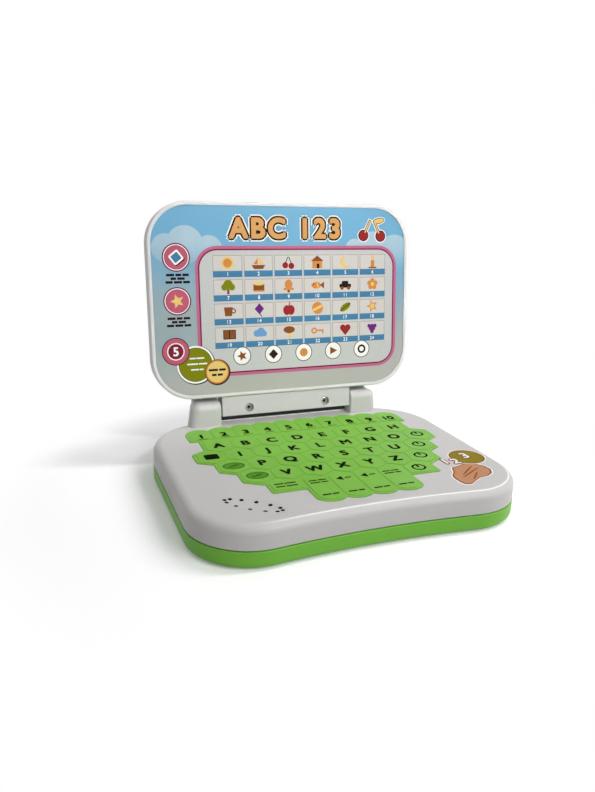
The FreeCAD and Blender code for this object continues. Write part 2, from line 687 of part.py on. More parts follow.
def make_bottom_case():
    """Green tray: floor, wall, locating lip, battery compartment, screw posts and wells for the feet."""
    tray = base_prism(-TRAY_PROUD, UNDERSIDE, SEAM_HEIGHT)
    tray = round_level_edges(tray, UNDERSIDE, TRAY_EDGE)
    tray = round_level_edges(tray, SEAM_HEIGHT, TRAY_RIM_EDGE)
    tray = tray.cut(base_prism(WALL, FLOOR_TOP, SEAM_HEIGHT + OVERRUN))
    lip_inset = WALL + LIP_CLEARANCE
    lip = base_prism(lip_inset, FLOOR_TOP, BOSS_SPLIT)
    lip = lip.cut(base_prism(lip_inset + LIP_THICKNESS, FLOOR_TOP, BOSS_SPLIT))
    lip_foot = base_prism(WALL / 2, FLOOR_TOP, SEAM_HEIGHT - LIP_HEIGHT)
    lip_foot = lip_foot.cut(base_prism(lip_inset + LIP_THICKNESS, FLOOR_TOP, SEAM_HEIGHT))
    box = centred_block(BATTERY_X, BATTERY_Y, BOX_LENGTH + 2 * BOX_WALL, BOX_WIDTH + 2 * BOX_WALL,
                        MID_FLOOR, BOX_ROOF + BOX_WALL)
    posts = [post(x, y, BOSS_RADIUS, MID_FLOOR, BOSS_SPLIT) for x, y in CASE_SCREWS]
    cup_room = DOOR_CUP_RADIUS + DOOR_CLEARANCE
    door_post_top = DOOR_SCREW_TIP + SCREW_WALL
    posts += [post(x, y, cup_room + SCREW_WALL, MID_FLOOR, door_post_top) for x, y in door_screw_places()]
    posts += [post(x, y, BOARD_POST_RADIUS, MID_FLOOR, BOARD_LOW) for x, y in board_post_places()]
    tray = joined([tray, lip, lip_foot, box] + posts)
    cuts = [centred_block(BATTERY_X, BATTERY_Y, BOX_LENGTH, BOX_WIDTH, -OVERRUN, BOX_ROOF)]
    cuts.append(door_outline(DOOR_CLEARANCE, -OVERRUN, DOOR_TOP))
    cuts += [case_screw_hole(x, y) for x, y in CASE_SCREWS]
    shank = SCREW_RADIUS + SCREW_PLAY
    for x, y in door_screw_places():
        cuts.append(post(x, y, cup_room, -OVERRUN, DOOR_CUP_TOP + DOOR_CLEARANCE))
        cuts.append(post(x, y, shank, 0, DOOR_SCREW_TIP + SCREW_PLAY))
    cuts += [post(x, y, shank, FLOOR_TOP, BOARD_LOW + OVERRUN) for x, y in board_post_places()]
    cuts += [post(x, y, FOOT_RADIUS + FOOT_CLEARANCE, 0, UNDERSIDE + FOOT_WELL) for x, y in FEET]
    return tray.cut(cuts)


def make_feet():
    """Rubber feet stuck in their wells."""
    return Part.Compound([post(x, y, FOOT_RADIUS, 0, UNDERSIDE + FOOT_WELL) for x, y in FEET])


def make_keypad_overlay():
    """Printed key sheet with its keys standing up from it."""
    low = RECESS_FLOOR + FILM_THICKNESS + SPACER_THICKNESS
    top = low + SHEET_THICKNESS
    keys = []
    for face in key_faces(KEY_GAP / 2):
        face.translate(Vector(0, 0, top))
        keys.append(face.extrude(Vector(0, 0, KEY_RISE)))
    return joined([sheet_prism(SHEET_MARGIN, low, top)] + keys)


def make_keypad_spacer():
    """Film under the key sheet with a round hole below each key."""
    low = RECESS_FLOOR + FILM_THICKNESS
    top = low + SPACER_THICKNESS
    holes = []
    for face in key_faces(0):
        middle = face.CenterOfMass
        holes.append(post(middle.x, middle.y, SPACER_HOLE_RADIUS, low, top))
    return sheet_prism(SHEET_MARGIN, low, top).cut(holes)


def make_keypad_circuit():
    """Contact film with a tail down through the deck to its socket."""
    top = RECESS_FLOOR + FILM_THICKNESS
    tail_low = BOARD_TOP + SOCKET_HEIGHT - TAIL_DEPTH_IN_SOCKET
    tail = centred_block(TAIL_X, TAIL_Y, TAIL_WIDTH, FILM_THICKNESS, tail_low, top)
    return joined([sheet_prism(SHEET_MARGIN, RECESS_FLOOR, top), tail])


def make_main_board():
    """Circuit board with a screw hole over each post."""
    board = centred_block(BOARD_X, BOARD_Y, BOARD_LENGTH, BOARD_WIDTH, BOARD_LOW, BOARD_TOP)
    shank = SCREW_RADIUS + SCREW_PLAY
    return board.cut([post(x, y, shank, BOARD_LOW, BOARD_TOP) for x, y in board_post_places()])


def make_sound_chip():
    """Low dome of potting over the sound chip."""
    top = BOARD_TOP + CHIP_HEIGHT
    ball_radius = (CHIP_RADIUS ** 2 + CHIP_HEIGHT ** 2) / (2 * CHIP_HEIGHT)
    ball = Part.makeSphere(ball_radius, Vector(BOARD_X, BOARD_Y - BOARD_WIDTH / 4, top - ball_radius))
    return ball.common(centred_block(BOARD_X, BOARD_Y, BOARD_LENGTH, BOARD_WIDTH, BOARD_TOP, top))


def make_board_parts():
    """Capacitor, crystal can and a row of resistors on the board."""
    right_x = BOARD_X + BOARD_LENGTH / 3
    left_x = BOARD_X - BOARD_LENGTH / 3
    capacitor_top = BOARD_TOP + CAPACITOR_HEIGHT
    crystal_top = BOARD_TOP + CRYSTAL_WIDTH
    resistor_top = BOARD_TOP + RESISTOR_HEIGHT
    solids = [
        post(right_x, BOARD_Y - BOARD_WIDTH / 4, CAPACITOR_RADIUS, BOARD_TOP, capacitor_top),
        centred_block(left_x, BOARD_Y, CRYSTAL_WIDTH, CRYSTAL_LENGTH, BOARD_TOP, crystal_top),
    ]
    for index in range(RESISTORS):
        y = BOARD_Y + (index - 1) * RESISTOR_PITCH
        solids.append(centred_block(right_x, y, RESISTOR_LENGTH, RESISTOR_WIDTH, BOARD_TOP, resistor_top))
    return Part.Compound(solids)


def make_tail_socket():
    """Socket on the board that grips the keypad's tail."""
    top = BOARD_TOP + SOCKET_HEIGHT
    socket = centred_block(TAIL_X, TAIL_Y, SOCKET_LENGTH, SOCKET_WIDTH, BOARD_TOP, top)
    slot = centred_block(TAIL_X, TAIL_Y, TAIL_WIDTH + 2 * TAIL_CLEARANCE, FILM_THICKNESS + 2 * SCREW_PLAY,
                         top - TAIL_DEPTH_IN_SOCKET, top + OVERRUN)
    return socket.cut(slot)


def make_speaker_frame():
    """Pressed basket: a flange at the front, a sloping wall and a flat floor."""
    floor = MAGNET_TOP
    flange_low = SPEAKER_FRONT - SPEAKER_FLANGE
    inner = SPEAKER_RADIUS - GASKET_WIDTH
    profile = (
        (0, floor),
        (SPEAKER_THROAT, floor),
        (inner, flange_low),
        (SPEAKER_RADIUS, flange_low),
        (SPEAKER_RADIUS, SPEAKER_FRONT),
        (inner, SPEAKER_FRONT),
        (inner - SPEAKER_SHEET, flange_low + SPEAKER_SHEET),
        (SPEAKER_THROAT - SPEAKER_SHEET, floor + SPEAKER_SHEET),
        (0, floor + SPEAKER_SHEET),
    )
    return turned(profile, SPEAKER_X, SPEAKER_Y)


def make_speaker_cone():
    """Paper cone with a cap in the middle, held at its outer edge."""
    outer = SPEAKER_RADIUS - GASKET_WIDTH - SPEAKER_SHEET
    rim_low = SPEAKER_FRONT - SPEAKER_FLANGE + SPEAKER_SHEET
    rim_top = rim_low + CONE_THICKNESS
    throat_low = MAGNET_TOP + SPEAKER_SHEET + CONE_CLEARANCE
    throat_top = throat_low + CONE_THICKNESS
    profile = (
        (0, throat_low),
        (CAP_RADIUS, throat_low),
        (outer - GASKET_WIDTH, rim_low),
        (outer, rim_low),
        (outer, rim_top),
        (outer - GASKET_WIDTH, rim_top),
        (CAP_RADIUS, throat_top),
        (CAP_RADIUS / 2, throat_top + CAP_RISE),
        (0, throat_top + CAP_RISE),
    )
    return turned(profile, SPEAKER_X, SPEAKER_Y)


def make_speaker_magnet():
    """Magnet and yoke behind the basket."""
    return post(SPEAKER_X, SPEAKER_Y, MAGNET_RADIUS, MAGNET_TOP - MAGNET_HEIGHT, MAGNET_TOP)


def make_speaker_gasket():
    """Foam ring between the speaker's flange and the deck."""
    ring = post(SPEAKER_X, SPEAKER_Y, SPEAKER_RADIUS, SPEAKER_FRONT, CEILING)
    return ring.cut(post(SPEAKER_X, SPEAKER_Y, SPEAKER_RADIUS - GASKET_WIDTH, SPEAKER_FRONT, CEILING))


def cell_rows():
    """Each cell's place across the compartment and the way its nub points."""
    rows = []
    for index in range(CELL_COUNT):
        y = BATTERY_Y + (index - (CELL_COUNT - 1) / 2) * CELL_PITCH
        rows.append((y, 1 if index % 2 == 0 else -1))
    return rows


def cell_flat_end(way):
    """Place along the compartment of a cell's flat end."""
    return BATTERY_X - way * (BOX_LENGTH / 2 - CONTACT_SPACE)


def make_battery_cells():
    """AA cells side by side, turned end for end in alternate rows."""
    cells = []
    for y, way in cell_rows():
        start = Vector(cell_flat_end(way), y, CELL_AXIS_Z)
        along = Vector(way, 0, 0)
        can = Part.makeCylinder(CELL_RADIUS, CELL_LENGTH, start, along)
        nub = Part.makeCylinder(CELL_NUB_RADIUS, CELL_NUB_LENGTH, start + along * CELL_LENGTH, along)
        cells.append(joined([can, nub]))
    return Part.Compound(cells)


def make_battery_plates():
    """Flat contacts at the cells' nubs, folded forward from the compartment's end wall."""
    plates = []
    for y, way in cell_rows():
        wall_x = BATTERY_X + way * BOX_LENGTH / 2
        nub_x = wall_x - way * CONTACT_SPACE
        inner_x = nub_x + way * CONTACT_THICKNESS
        low = CELL_AXIS_Z - CONTACT_HEIGHT / 2
        top = CELL_AXIS_Z + CONTACT_HEIGHT / 2
        near = y - CONTACT_WIDTH / 2
        far = y + CONTACT_WIDTH / 2
        face = block(min(nub_x, inner_x), max(nub_x, inner_x), near, far, low, top)
        foot = block(min(nub_x, wall_x), max(nub_x, wall_x), near, far, top - CONTACT_THICKNESS, top)
        plates.append(joined([face, foot]))
    return Part.Compound(plates)


def make_battery_leaves():
    """Sprung contacts at the cells' flat ends, bent like a shallow arch."""
    leaves = []
    for y, way in cell_rows():
        wall = Vector(BATTERY_X - way * BOX_LENGTH / 2, 0, CELL_AXIS_Z)
        out = Vector(way, 0, 0)
        up = Vector(0, 0, CONTACT_HEIGHT / 2)
        crest = wall + out * CONTACT_SPACE
        skin = out * CONTACT_THICKNESS
        corners = [
            wall - up,
            wall - up + skin,
            crest - up / 4,
            crest + up / 4,
            wall + up + skin,
            wall + up,
            crest + up / 4 - skin,
            crest - up / 4 - skin,
        ]
        face = polygon_face(corners)
        face.translate(Vector(0, y - CONTACT_WIDTH / 2, 0))
        leaves.append(face.extrude(Vector(0, CONTACT_WIDTH, 0)))
    return Part.Compound(leaves)


def make_battery_door():
    """Cover of the battery compartment with a cup for a sunk screw in each lug."""
    places = door_screw_places()
    cups = [post(x, y, DOOR_CUP_RADIUS, DOOR_LOW, DOOR_CUP_TOP) for x, y in places]
    door = joined([door_outline(0, DOOR_LOW, DOOR_TOP)] + cups)
    cuts = [post(x, y, SCREW_RADIUS + SCREW_PLAY, 0, DOOR_CUP_TOP) for x, y in places]
    cuts += [post(x, y, SCREW_HEAD_RADIUS + HEAD_PLAY, 0, DOOR_SEAT) for x, y in places]
    return door.cut(cuts)


def lid_outline(inset, height):
    """Rounded rectangle of the lid, laid flat with the hinge axis along X at the origin."""
    corner = LID_CORNER - inset
    centre_x = LID_WIDTH / 2 - LID_CORNER
    low_y = LID_START + LID_CORNER
    high_y = LID_START + LID_HEIGHT - LID_CORNER
    arcs = [
        arc_edge(Vector(centre_x, high_y, height), corner, 90, 0),
        arc_edge(Vector(centre_x, low_y, height), corner, 0, -90),
        arc_edge(Vector(-centre_x, low_y, height), corner, -90, -180),
        arc_edge(Vector(-centre_x, high_y, height), corner, 180, 90),
    ]
    edges = []
    for arc, following in zip(arcs, arcs[1:] + arcs[:1]):
        edges.append(arc)
        edges.append(line_edge(arc.Vertexes[-1].Point, following.Vertexes[0].Point))
    return Part.Wire(edges)


def lid_prism(inset, z_low, z_high):
    """Block with the lid's outline, laid flat."""
    return Part.Face(lid_outline(inset, z_low)).extrude(Vector(0, 0, z_high - z_low))


def pin_bores():
    """Bores of the hinge bar for the two pins."""
    bores = []
    for side in (-1, 1):
        inner = side * (KNUCKLE_INNER - PIN_IN_BARREL - BARREL_END_GAP)
        outer = side * (BARREL_HALF + OVERRUN)
        bores.append(bar_along_x(PIN_RADIUS + PIN_RUN, min(inner, outer), max(inner, outer), 0, 0))
    return bores


def half_barrel():
    """Rear half of the hinge bar, round at the back, and its neck up to the lid."""
    barrel = bar_along_x(BARREL_RADIUS, -BARREL_HALF, BARREL_HALF, 0, 0)
    rear = block(-BARREL_HALF, BARREL_HALF, -BARREL_RADIUS, BARREL_RADIUS, -BARREL_RADIUS, 0)
    neck = block(-BARREL_HALF, BARREL_HALF, 0, LID_START + LID_BACK_EDGE, LID_BACK, 0)
    return joined([barrel.common(rear), neck])


def opened(shape):
    """Move a flat lid piece to the open lid's place."""
    shape.Placement = Placement(Vector(0, HINGE_Y, HINGE_Z), Rotation(Vector(1, 0, 0), 180 - LID_OPEN))
    return shape


def make_lid_back():
    """Rear shell of the lid with the rear half of the hinge barrel."""
    shell = lid_prism(0, LID_BACK, LID_SEAM)
    shell = round_level_edges(shell, LID_BACK, LID_BACK_EDGE)
    cavity = lid_prism(LID_WALL, LID_BACK + LID_WALL, LID_SEAM + OVERRUN)
    cavity = round_level_edges(cavity, LID_BACK + LID_WALL, LID_BACK_EDGE - LID_WALL)
    shell = shell.cut(cavity)
    shell = joined([shell, half_barrel()])
    shank = SCREW_RADIUS + SCREW_PLAY
    holes = pin_bores()
    for side in (-1, 1):
        holes.append(post(side * COVER_SCREW_X, COVER_SCREW_RISE, shank, -BARREL_RADIUS / 2, OVERRUN))
    return opened(shell.cut(holes))


def make_lid_front():
    """Front shell of the lid with a lip round the picture."""
    shell = lid_prism(0, LID_SEAM, LID_FACE)
    shell = round_level_edges(shell, LID_FACE, LID_LIP_EDGE)
    recess_floor = LID_FACE - CARD_RECESS
    cavity = lid_prism(LID_WALL, LID_SEAM - OVERRUN, recess_floor - CARD_BACKING)
    return opened(shell.cut([cavity, lid_prism(LID_LIP, recess_floor, LID_FACE + OVERRUN)]))


def make_picture_card():
    """Printed card that lies in the lid's recess."""
    low = LID_FACE - CARD_RECESS
    return opened(lid_prism(LID_LIP + CARD_CLEARANCE, low, low + CARD_THICKNESS))


def cover_seat():
    """Height of the cover's screw seats above the hinge axis, laid flat."""
    return COVER_FACE - SCREW_HEAD_HEIGHT - COVER_SCREW_SINK


def make_hinge_cover():
    """Flat front half of the hinge bar, held by two screws."""
    cover = block(-BARREL_HALF, BARREL_HALF, -COVER_DROP, LID_START - COVER_GAP, 0, COVER_FACE)
    shank = SCREW_RADIUS + SCREW_PLAY
    head = SCREW_HEAD_RADIUS + HEAD_PLAY
    cuts = pin_bores()
    for side in (-1, 1):
        x = side * COVER_SCREW_X
        cuts.append(post(x, COVER_SCREW_RISE, shank, 0, COVER_FACE))
        cuts.append(post(x, COVER_SCREW_RISE, head, cover_seat(), COVER_FACE + OVERRUN))
    return opened(cover.cut(cuts))


def make_hinge_screws():
    """Screws that clamp the hinge cover to the lid."""
    screws = []
    for side in (-1, 1):
        x = side * COVER_SCREW_X
        screws.append(screw_head_up(x, COVER_SCREW_RISE, cover_seat(), COVER_SCREW_LENGTH))
    return opened(Part.Compound(screws))


def make_hinge_pin(side):
    """Steel pin from a knuckle into the barrel."""
    inner = side * (KNUCKLE_INNER - PIN_IN_BARREL)
    outer = side * (KNUCKLE_INNER + PIN_IN_KNUCKLE)
    return bar_along_x(PIN_RADIUS, min(inner, outer), max(inner, outer), HINGE_Y, HINGE_Z)


def make_case_screws():
    """Screws up through the tray into the deck's bosses."""
    length = BOSS_SPLIT - CASE_SCREW_SEAT + SCREW_BITE - OVERRUN
    return Part.Compound([screw_head_down(x, y, CASE_SCREW_SEAT, length) for x, y in CASE_SCREWS])


def make_board_screws():
    """Screws that hold the board to its posts."""
    places = board_post_places()
    return Part.Compound([screw_head_up(x, y, BOARD_TOP, SMALL_SCREW_LENGTH) for x, y in places])


def make_door_screws():
    """Screws that hold the battery door."""
    places = door_screw_places()
    return Part.Compound([screw_head_down(x, y, DOOR_SEAT, DOOR_SCREW_LENGTH) for x, y in places])


def make_speaker_leads():
    """Pair of leads from the speaker to the board's edge."""
    leads = []
    speaker_edge = SPEAKER_Y + MAGNET_RADIUS
    board_edge = BOARD_Y - BOARD_WIDTH / 2
    level = MAGNET_TOP - MAGNET_HEIGHT / 2
    straight = LEAD_EXIT_SHARE * (board_edge - speaker_edge)
    for side in (-1, 1):
        x = SPEAKER_X + side * LEAD_SPACING / 2
        leads.append(rounded_tube([
            Vector(x, speaker_edge, level),
            Vector(x, speaker_edge + straight, level),
            Vector(x + LEAD_SIDESTEP, board_edge - straight, BOARD_MIDDLE),
            Vector(x + LEAD_SIDESTEP, board_edge, BOARD_MIDDLE),
        ], LEAD_RADIUS))
    return Part.Compound(leads)


def make_battery_lead_positive():
    """Lead from the near end of the compartment to the board."""
    wall_x = BATTERY_X - BOX_LENGTH / 2 - BOX_WALL
    board_x = BOARD_X + BOARD_LENGTH / 2
    straight = LEAD_EXIT_SHARE * (wall_x - board_x)
    y = BATTERY_Y + CELL_PITCH
    return rounded_tube([
        Vector(wall_x, y, CELL_AXIS_Z),
        Vector(wall_x - straight, y, CELL_AXIS_Z),
        Vector(board_x + straight, y + LEAD_SIDESTEP, BOARD_MIDDLE),
        Vector(board_x, y + LEAD_SIDESTEP, BOARD_MIDDLE),
    ], LEAD_RADIUS)


def make_battery_lead_negative():
    """Lead from the far end of the compartment, round its back, to the board."""
    wall_x = BATTERY_X + BOX_LENGTH / 2 + BOX_WALL
    board_x = BOARD_X + BOARD_LENGTH / 2
    back_y = BATTERY_Y + BOX_WIDTH / 2 + BOX_WALL
    straight = LEAD_EXIT_SHARE * (BATTERY_X - board_x)
    return rounded_tube([
        Vector(wall_x, BATTERY_Y + CELL_PITCH, CELL_AXIS_Z),
        Vector(wall_x + LEAD_SIDESTEP, BATTERY_Y + CELL_PITCH, CELL_AXIS_Z),
        Vector(wall_x + LEAD_SIDESTEP, back_y, CELL_AXIS_Z),
        Vector(wall_x - LEAD_SIDESTEP, back_y + LEAD_SIDESTEP, CELL_AXIS_Z),
        Vector(board_x + straight, back_y + 2 * LEAD_SIDESTEP, BOARD_MIDDLE),
        Vector(board_x, back_y + 2 * LEAD_SIDESTEP, BOARD_MIDDLE),
    ], LEAD_RADIUS)


PIECES = {
    "top_case": make_top_case(),
    "bottom_case": make_bottom_case(),
    "feet": make_feet(),
    "keypad_overlay": make_keypad_overlay(),
    "keypad_spacer": make_keypad_spacer(),
    "keypad_circuit": make_keypad_circuit(),
    "main_board": make_main_board(),
    "sound_chip": make_sound_chip(),
    "board_parts": make_board_parts(),
    "tail_socket": make_tail_socket(),
    "speaker_frame": make_speaker_frame(),
    "speaker_cone": make_speaker_cone(),
    "speaker_magnet": make_speaker_magnet(),
    "speaker_gasket": make_speaker_gasket(),
    "battery_cells": make_battery_cells(),
    "battery_plates": make_battery_plates(),
    "battery_leaves": make_battery_leaves(),
    "battery_door": make_battery_door(),
    "lid_back": make_lid_back(),
    "lid_front": make_lid_front(),
    "picture_card": make_picture_card(),
    "hinge_cover": make_hinge_cover(),
    "hinge_screws": make_hinge_screws(),
    "hinge_pin_left": make_hinge_pin(-1),
    "hinge_pin_right": make_hinge_pin(1),
    "case_screws": make_case_screws(),
    "board_screws": make_board_screws(),
    "door_screws": make_door_screws(),
    "speaker_leads": make_speaker_leads(),
    "battery_lead_positive": make_battery_lead_positive(),
    "battery_lead_negative": make_battery_lead_negative(),
}

os.makedirs("parts", exist_ok=True)
for name, piece in PIECES.items():
    piece.exportStep(os.path.join("parts", name + ".step"))
    print(name, len(piece.Solids), "solids", round(piece.Volume, 1), "mm3", piece.isValid())
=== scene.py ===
"""A toy laptop computer: a printed lid on a hinge bar over a sheet of green keys.

Sizes of the printed work are in millimetres, in the plane that carries it.
The meshes and the lights are in metres, in the frame of the solids.
"""
import logging
import math
from dataclasses import dataclass, field
from enum import Enum
from typing import Protocol, Sequence, Union

import bmesh
import bpy
from mathutils import Matrix, Vector


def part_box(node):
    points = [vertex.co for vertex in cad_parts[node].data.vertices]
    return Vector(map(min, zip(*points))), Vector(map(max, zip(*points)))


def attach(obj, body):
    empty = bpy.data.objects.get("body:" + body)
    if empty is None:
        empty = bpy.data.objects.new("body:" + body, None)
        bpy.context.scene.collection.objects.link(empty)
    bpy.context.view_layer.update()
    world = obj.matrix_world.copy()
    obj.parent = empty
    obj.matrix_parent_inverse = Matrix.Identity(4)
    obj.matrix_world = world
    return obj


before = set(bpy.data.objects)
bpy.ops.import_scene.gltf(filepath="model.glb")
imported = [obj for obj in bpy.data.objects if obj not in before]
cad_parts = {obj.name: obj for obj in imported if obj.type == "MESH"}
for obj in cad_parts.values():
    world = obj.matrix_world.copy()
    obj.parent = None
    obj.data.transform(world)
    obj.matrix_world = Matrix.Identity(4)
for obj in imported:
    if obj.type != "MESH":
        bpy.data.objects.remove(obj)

log = logging.getLogger("toy_laptop")
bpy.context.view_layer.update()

MM = 0.001
CAPITAL_SHARE = 0.729
ROUND_STEPS = 40
CORNER_STEPS = 8
LETTER_STEPS = 6
WELD = 0.0005
Colour = tuple[float, float, float]
Point = tuple[float, float]
Spot = tuple[float, float, float]


def linear(red: float, green: float, blue: float) -> Colour:
    """Turn a colour of 0 to 255 steps into a shader's linear values.

    Args:
        red: The red step.
        green: The green step.
        blue: The blue step.

    Returns:
        The linear colour.
    """
    def channel(step: float) -> float:
        """Turn one channel."""
        part = step / 255
        return part / 12.92 if part <= 0.04045 else ((part + 0.055) / 1.055) ** 2.4

    return channel(red), channel(green), channel(blue)


class Body(Enum):
    """The bodies of the frame that printed pieces ride on."""

    BASE = "base"
    LID = "lid"


class Wire:
    """A shader socket that takes part in Python arithmetic."""

    def __init__(self, graph: "Graph", socket: bpy.types.NodeSocket) -> None:
        """Keep the socket and the graph that it belongs to."""
        self.graph = graph
        self.socket = socket

    def _math(self, operation: str, first: "Operand", second: "Operand") -> "Wire":
        """Add a Math node for two operands."""
        return self.graph.node("ShaderNodeMath", {"operation": operation}, {0: first, 1: second})

    def __add__(self, other: "Operand") -> "Wire":
        """Add."""
        return self._math("ADD", self, other)

    def __radd__(self, other: "Operand") -> "Wire":
        """Add, with the number first."""
        return self._math("ADD", other, self)

    def __sub__(self, other: "Operand") -> "Wire":
        """Subtract."""
        return self._math("SUBTRACT", self, other)

    def __rsub__(self, other: "Operand") -> "Wire":
        """Subtract from a number."""
        return self._math("SUBTRACT", other, self)

    def __mul__(self, other: "Operand") -> "Wire":
        """Multiply."""
        return self._math("MULTIPLY", self, other)

    def __rmul__(self, other: "Operand") -> "Wire":
        """Multiply, with the number first."""
        return self._math("MULTIPLY", other, self)

    def __gt__(self, other: "Operand") -> "Wire":
        """Give 1 where this is the greater."""
        return self._math("GREATER_THAN", self, other)

    def size(self) -> "Wire":
        """Give the value without its sign."""
        return self._math("ABSOLUTE", self, 0.0)

    def sine(self) -> "Wire":
        """Give the sine."""
        return self._math("SINE", self, 0.0)

    def rise(self, start: float, end: float) -> "Wire":
        """Give a smooth step.

        Args:
            start: The value where the step leaves 0.
            end: The value where the step reaches 1.

        Returns:
            The step, from 0 to 1.
        """
        return self.graph.node(
            "ShaderNodeMapRange", {"interpolation_type": "SMOOTHSTEP"},
            {"Value": self, "From Min": start, "From Max": end, "To Min": 0.0, "To Max": 1.0})


Operand = Union[Wire, float, Sequence[float]]


class Graph:
    """The node tree of a material or of the world, built node by node."""

    def __init__(self, owner: Union[bpy.types.Material, bpy.types.World]) -> None:
        """Empty the owner's tree.

        Args:
            owner: The material or the world.
        """
        owner.use_nodes = True
        self.owner = owner
        self.tree = owner.node_tree
        self.tree.nodes.clear()

    def node(self, kind: str, settings: dict[str, object], inputs: dict[Union[int, str], Operand],
             output: Union[int, str] = 0) -> Wire:
        """Add a node.

        Args:
            kind: The node's type.
            settings: The node's own settings, set first.
            inputs: The values or links of its sockets.
            output: The socket to give back.

        Returns:
            The chosen output.
        """
        made = self.tree.nodes.new(kind)
        for key, setting in settings.items():
            setattr(made, key, setting)
        for key, operand in inputs.items():
            socket = made.inputs[key]
            if isinstance(operand, Wire):
                self.tree.links.new(operand.socket, socket)
            elif socket.type == "RGBA":
                socket.default_value = (*operand, 1.0)
            else:
                socket.default_value = operand
        return Wire(self, made.outputs[output])

    def place(self) -> Wire:
        """Give the Object coordinates."""
        return self.node("ShaderNodeTexCoord", {}, {}, "Object")

    def axis(self, name: str) -> Wire:
        """Give one of the Object coordinates, in metres."""
        return self.node("ShaderNodeSeparateXYZ", {}, {0: self.place()}, name)

    def noise(self, size: float, detail: float = 2.0, stretch: Sequence[float] = (1, 1, 1)) -> Wire:
        """Give a noise over the surface.

        Args:
            size: The width of a patch, in millimetres.
            detail: The octaves of the noise.
            stretch: How much finer it is along each axis.

        Returns:
            The noise, from 0 to 1.
        """
        spread = self.node("ShaderNodeVectorMath", {"operation": "MULTIPLY"},
                           {0: self.place(), 1: stretch})
        return self.node("ShaderNodeTexNoise", {},
                         {"Vector": spread, "Scale": 1 / (size * MM), "Detail": detail})

    def cells(self, size: float, feature: str) -> Wire:
        """Give the distance in a pattern of cells.

        Args:
            size: The width of a cell, in millimetres.
            feature: The distance that the pattern gives.

        Returns:
            The distance, in cells.
        """
        return self.node("ShaderNodeTexVoronoi", {"feature": feature},
                         {"Vector": self.place(), "Scale": 1 / (size * MM)}, "Distance")

    def blend(self, first: Operand, second: Operand, factor: Operand) -> Wire:
        """Mix two colours."""
        return self.node("ShaderNodeMix", {"data_type": "RGBA"}, {0: factor, 6: first, 7: second}, 2)

    def bump(self, height: Wire, depth: float) -> Wire:
        """Give the normal of a height.

        Args:
            height: The height, from 0 to 1.
            depth: The depth that 1 stands for, in millimetres.

        Returns:
            The normal.
        """
        return self.node("ShaderNodeBump", {}, {"Height": height, "Distance": depth * MM})

    def close(self, **sockets: Operand) -> bpy.types.Material:
        """Finish with a Principled surface.

        Args:
            sockets: The values and links of its sockets, with _ for a space.

        Returns:
            The material.
        """
        named = {key.replace("_", " "): operand for key, operand in sockets.items()}
        return self.output(self.node("ShaderNodeBsdfPrincipled", {}, named))

    def output(self, surface: Wire, kind: str = "Material") -> Union[bpy.types.Material, bpy.types.World]:
        """Finish with a surface of any kind.

        Args:
            surface: The shader.
            kind: What the tree belongs to, Material or World.

        Returns:
            The owner of the tree.
        """
        end = self.tree.nodes.new(f"ShaderNodeOutput{kind}")
        self.tree.links.new(surface.socket, end.inputs["Surface"])
        return self.owner

    def seen(self) -> Wire:
        """Find what the camera sees, straight or through gloss or glass.

        Returns:
            1 for a seen ray, otherwise 0.
        """
        rays = [self.node("ShaderNodeLightPath", {}, {}, f"Is {ray} Ray")
                for ray in ("Camera", "Glossy", "Transmission")]
        return (rays[0] + rays[1] + rays[2]) > 0.5


class Finish(Protocol):
    """Anything that can make its own material."""

    def material(self) -> bpy.types.Material:
        """Make the material."""


@dataclass(frozen=True)
class MouldedPlastic:
    """An opaque plastic from a lightly sparked mould."""

    name: str
    colour: Colour
    shade: Colour
    roughness: float = 0.42
    grain: float = 0.45
    depth: float = 0.006
    gloss: float = 0.3
    specular: float = 0.12

    def tone(self, graph: Graph, colour: Wire) -> Wire:
        """Give the colour that shows, which is the plastic's own."""
        return colour

    def material(self) -> bpy.types.Material:
        """Make the plastic, with flow marks, a mould grain and handling dullness.

        Returns:
            The material.
        """
        graph = Graph(bpy.data.materials.new(self.name))
        flow = graph.noise(34.0, 3.0, (1.0, 0.6, 1.6))
        speck = graph.noise(self.grain, 2.0)
        dull = graph.noise(13.0, 4.0)
        colour = graph.blend(self.colour, self.shade, flow * 0.55 + speck * 0.12)
        return graph.close(
            Base_Color=self.tone(graph, colour),
            Roughness=self.roughness + 0.16 * (dull - 0.5) + 0.05 * (speck - 0.5),
            Normal=graph.bump(speck, self.depth), Specular_IOR_Level=self.specular,
            Coat_Weight=self.gloss, Coat_Roughness=0.12)


